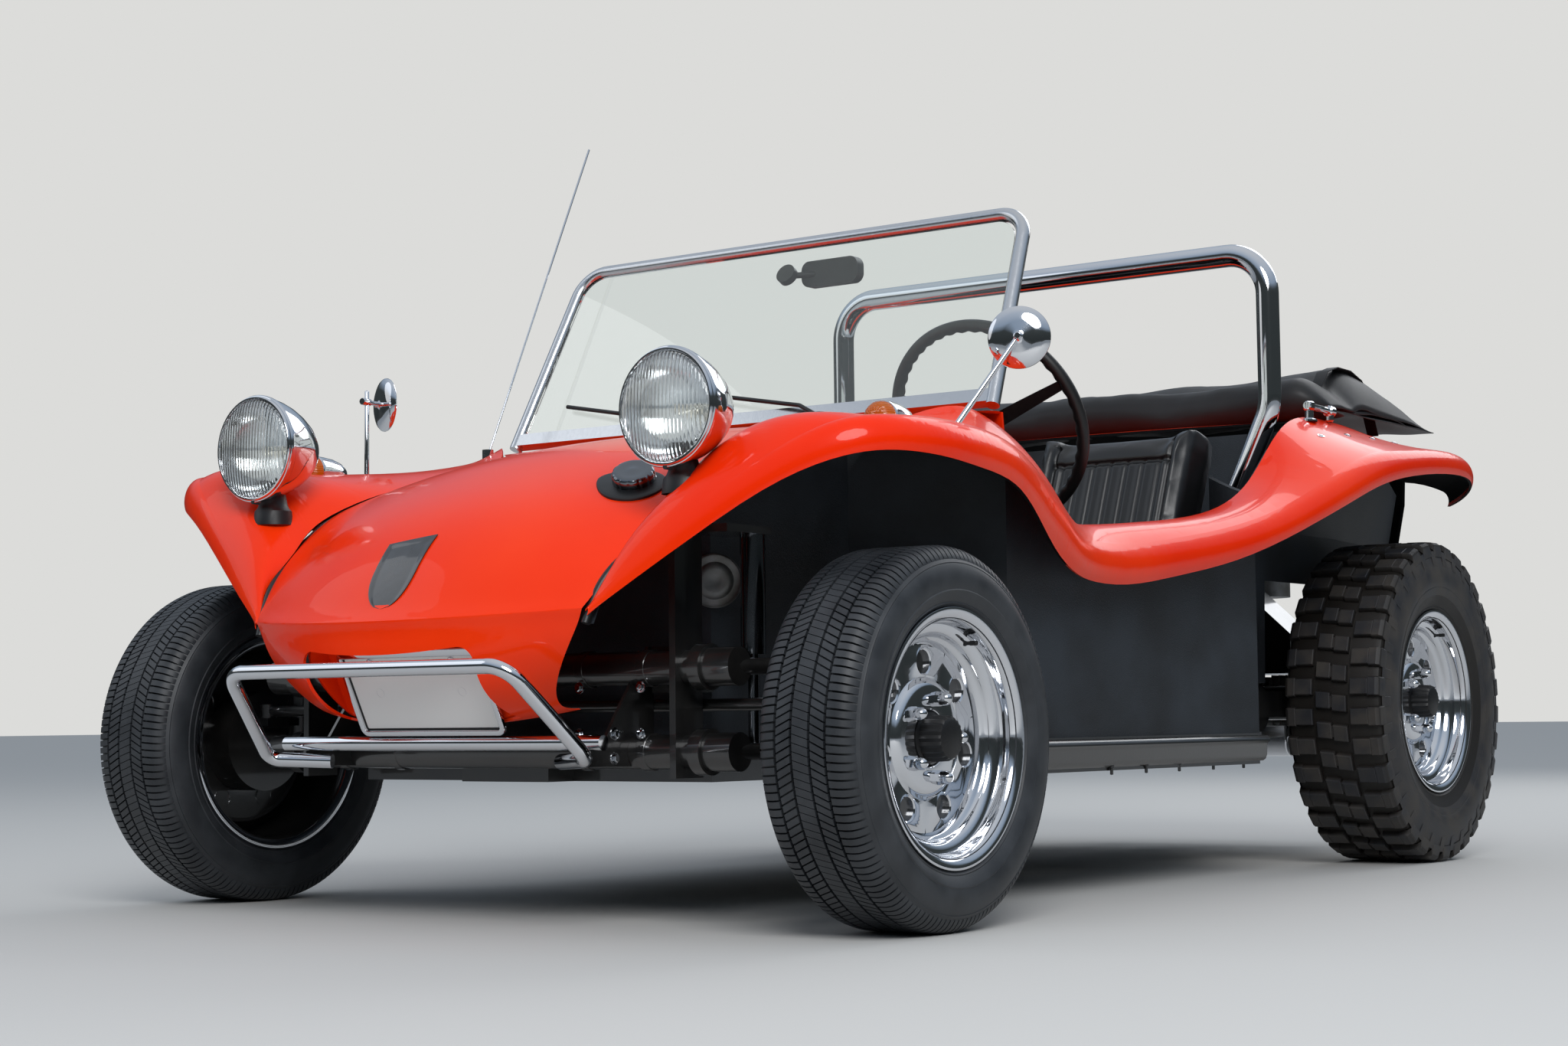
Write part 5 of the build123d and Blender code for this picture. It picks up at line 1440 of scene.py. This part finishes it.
def makeWelts():
    # the flange under each seam is a strip set back from the bead
    path = [Vector(point) for point in welt["points"]]
    flanges = bmesh.new()
    for sideName, side in sides:
        rows = []
        for before, here, after in zip(path[:1] + path, path, path[1:] + path[-1:]):
            run = Vector((0, after.y - before.y, after.z - before.z)).normalized()
            inward = Vector((0, run.z, -run.y)) * welt["depth"]
            reach = welt["reach"] if here.z > welt["lowEnd"] else welt["lowReach"]
            rows.append([flanges.verts.new(at(side * (here.x + shift), here.y, here.z) + inward)
                         for shift in (-reach * 0.5, reach)])
        for (a, b), (c, d) in zip(rows, rows[1:]):
            flanges.faces.new((a, b, d, c))
    thicken(flanges, 0.0015)
    finishPiece("wing_flanges", flanges, [underCoat], sharp=60)
    for sideName, side in sides:
        points = [at(side * point.x, point.y, point.z - welt["sunk"]) for point in path]
        makeBead("wing_welt_" + sideName, points, welt["radius"])


makeWelts()


# beam trim: straps round the tubes, and the horn
beam = {
    "station": -0.13,
    "tubes": (0.401, 0.271),
    "screws": (0.372, 0.300),
    "straps": (0.205, 0.33),
    "strap": [(-9, 24.6), (-9, 28.5), (-7.6, 29.6), (7.6, 29.6), (9, 28.5), (9, 24.6)],
    "hornPlace": at(0.385, -0.035, 0.539),
    "hornAxis": (0.55, -0.83, 0),
    "horn": [(-22, 0), (-22, 10), (-18, 13), (-12, 14), (-10, 30), (-6, 41), (0, 43.5), (5, 43.5), (6.5, 41),
             (5, 39), (4.5, 30), (8, 26), (9, 18), (6, 8), (5, 0)],
}


def makeBeamTrim():
    bm = bmesh.new()
    for x in [side * x for sideName, side in sides for x in beam["straps"]]:
        for z in beam["tubes"]:
            spinProfile(bm, beam["strap"], 32, closed=True, centre=at(x, beam["station"], z))
        for z in beam["screws"]:
            addScrew(bm, at(x, beam["station"] - 0.025, z), forwards, 6, 1)
    finishPiece("beam_straps", bm, [blackEnamel, chrome], sharp=36)
    horn = bmesh.new()
    spinProfile(horn, beam["horn"], 48, centre=beam["hornPlace"], axis=beam["hornAxis"])
    finishPiece("horn_disc", horn, [castAlloy], sharp=40)


makeBeamTrim()
print("sills, welts and beam trim made")


# dashboard dials and switches, facing rearwards
dials = {
    "row": [(0.35, 0.0, 0.050), (0.235, 0.012, 0.027), (0.165, 0.012, 0.027)],
    "switches": [0.02, -0.04, -0.10],
    "switch": [(0, 9), (2, 9), (3, 5), (14, 4.5), (15, 8), (22, 8), (24, 6), (24.5, 0)],
    "z": 0.775,
    "behind": 1.4,
    "marks": range(-120, 121, 30),
    "needle": -112,
}


def makeDials():
    dashSkin = surfaceOf("dashboard")
    bm = bmesh.new()
    for x, rise, radius in dials["row"]:
        place = onSurface(dashSkin, at(x, dials["behind"], dials["z"] + rise), forwards)
        r = radius * 1000
        bezel = [(0, r), (5, r), (7.5, r - 1.5), (7.5, r - 4), (4, r - 6)]
        face, pin = [(3, r - 5), (3.2, 0)], [(3, 3), (6, 2.4), (6.4, 0)]
        for run, steps, finish in ((bezel, 48, 0), (face, 48, 1), (pin, 16, 0)):
            spinProfile(bm, run, steps, finish, centre=place, axis=rearwards)
        for mark in dials["marks"]:
            turn = Matrix.Rotation(math.radians(mark), 3, "Y")
            spot = place + turn @ Vector((0, 0.0038, radius - 0.010))
            paint(addBox(bm, (0.0012, 0.0008, 0.0045), spot, turn), 2)
        needle = addBox(bm, (0.0016, 0.001, radius * 0.7), (0, 0, radius * 0.28))
        turn = Matrix.Rotation(math.radians(dials["needle"]), 3, "Y")
        settle(bm, needle, place + Vector((0, 0.005, 0)), turn)
        paint(needle, 2)
    for x in dials["switches"]:
        place = onSurface(dashSkin, at(x, dials["behind"], dials["z"]), forwards)
        spinProfile(bm, dials["switch"], 24, 1, centre=place, axis=rearwards)
    finishPiece("dials_and_switches", bm, [chrome, blackAbs, plateWhite], sharp=36)


makeDials()
print("dials made")


# studio
studio = {
    "floorSize": 60.0,
    "floorColour": "#c8c7c4",
    "lights": [("key", (4.5, -5.5, 5.0), 4.0, 360), ("fill", (-5.5, -4.0, 4.0), 5.0, 45),
               ("rear", (0.5, 6.0, 5.0), 5.0, 150)],
    "ends": ("#4a4d4e", "#eef3fa"),
    "sky": [(0.03, "#3a3f40"), (0.26, "#464c4d"), (0.40, "#a9bbd0"), (0.7, "#d3dfee")],
    "skyStrength": 0.75,
    "backdrop": "#dcdcda",
}


def aimLight(name, place, size, power):
    data = bpy.data.lights.new(name, "AREA")
    data.shape = "DISK"
    data.size = size
    data.energy = power
    light = linked(name, data)
    light.location = place
    light.rotation_euler = (Vector((0, 0, 0.5)) - Vector(place)).to_track_quat("-Z", "Y").to_euler()


def makeSky():
    # the sky that the paint and chrome mirror; the camera sees a plain pale backdrop instead
    world = bpy.data.worlds.new("studio")
    bpy.context.scene.world = world
    world.use_nodes = True
    tree = world.node_tree
    ground = tree.nodes["Background"]
    height = addNode(tree, "SeparateXYZ", {"Vector": addNode(tree, "TexCoord").outputs["Generated"]})
    ramp = addNode(tree, "ValToRGB", {"Fac": height.outputs["Z"]})
    stops = ramp.color_ramp.elements
    for stop, colour in zip(stops, studio["ends"]):
        stop.color = hexColour(colour)
    for place, colour in studio["sky"]:
        stops.new(place).color = hexColour(colour)
    tree.links.new(ramp.outputs["Color"], ground.inputs["Color"])
    ground.inputs["Strength"].default_value = studio["skyStrength"]
    rays = addNode(tree, "LightPath").outputs
    shown = mathOf(tree, "MAXIMUM", rays["Is Camera Ray"], rays["Is Transmission Ray"])
    pale = addNode(tree, "Background", Color=hexColour(studio["backdrop"]), Strength=1.0)
    both = addNode(tree, "MixShader", {0: shown, 1: ground.outputs[0], 2: pale.outputs[0]})
    tree.links.new(both.outputs[0], tree.nodes["World Output"].inputs["Surface"])


def makeStudio():
    bm = bmesh.new()
    bmesh.ops.create_grid(bm, x_segments=1, y_segments=1, size=studio["floorSize"])
    floor = linked("floor", meshFrom("floor", bm))
    paintwork = makeSurface("painted_floor", studio["floorColour"], 0.75, Specular_IOR_Level=0.2)
    floor.data.materials.append(paintwork)
    for light in studio["lights"]:
        aimLight(*light)
    makeSky()
    bpy.context.scene.view_settings.view_transform = "Standard"


makeStudio()
print("studio made")
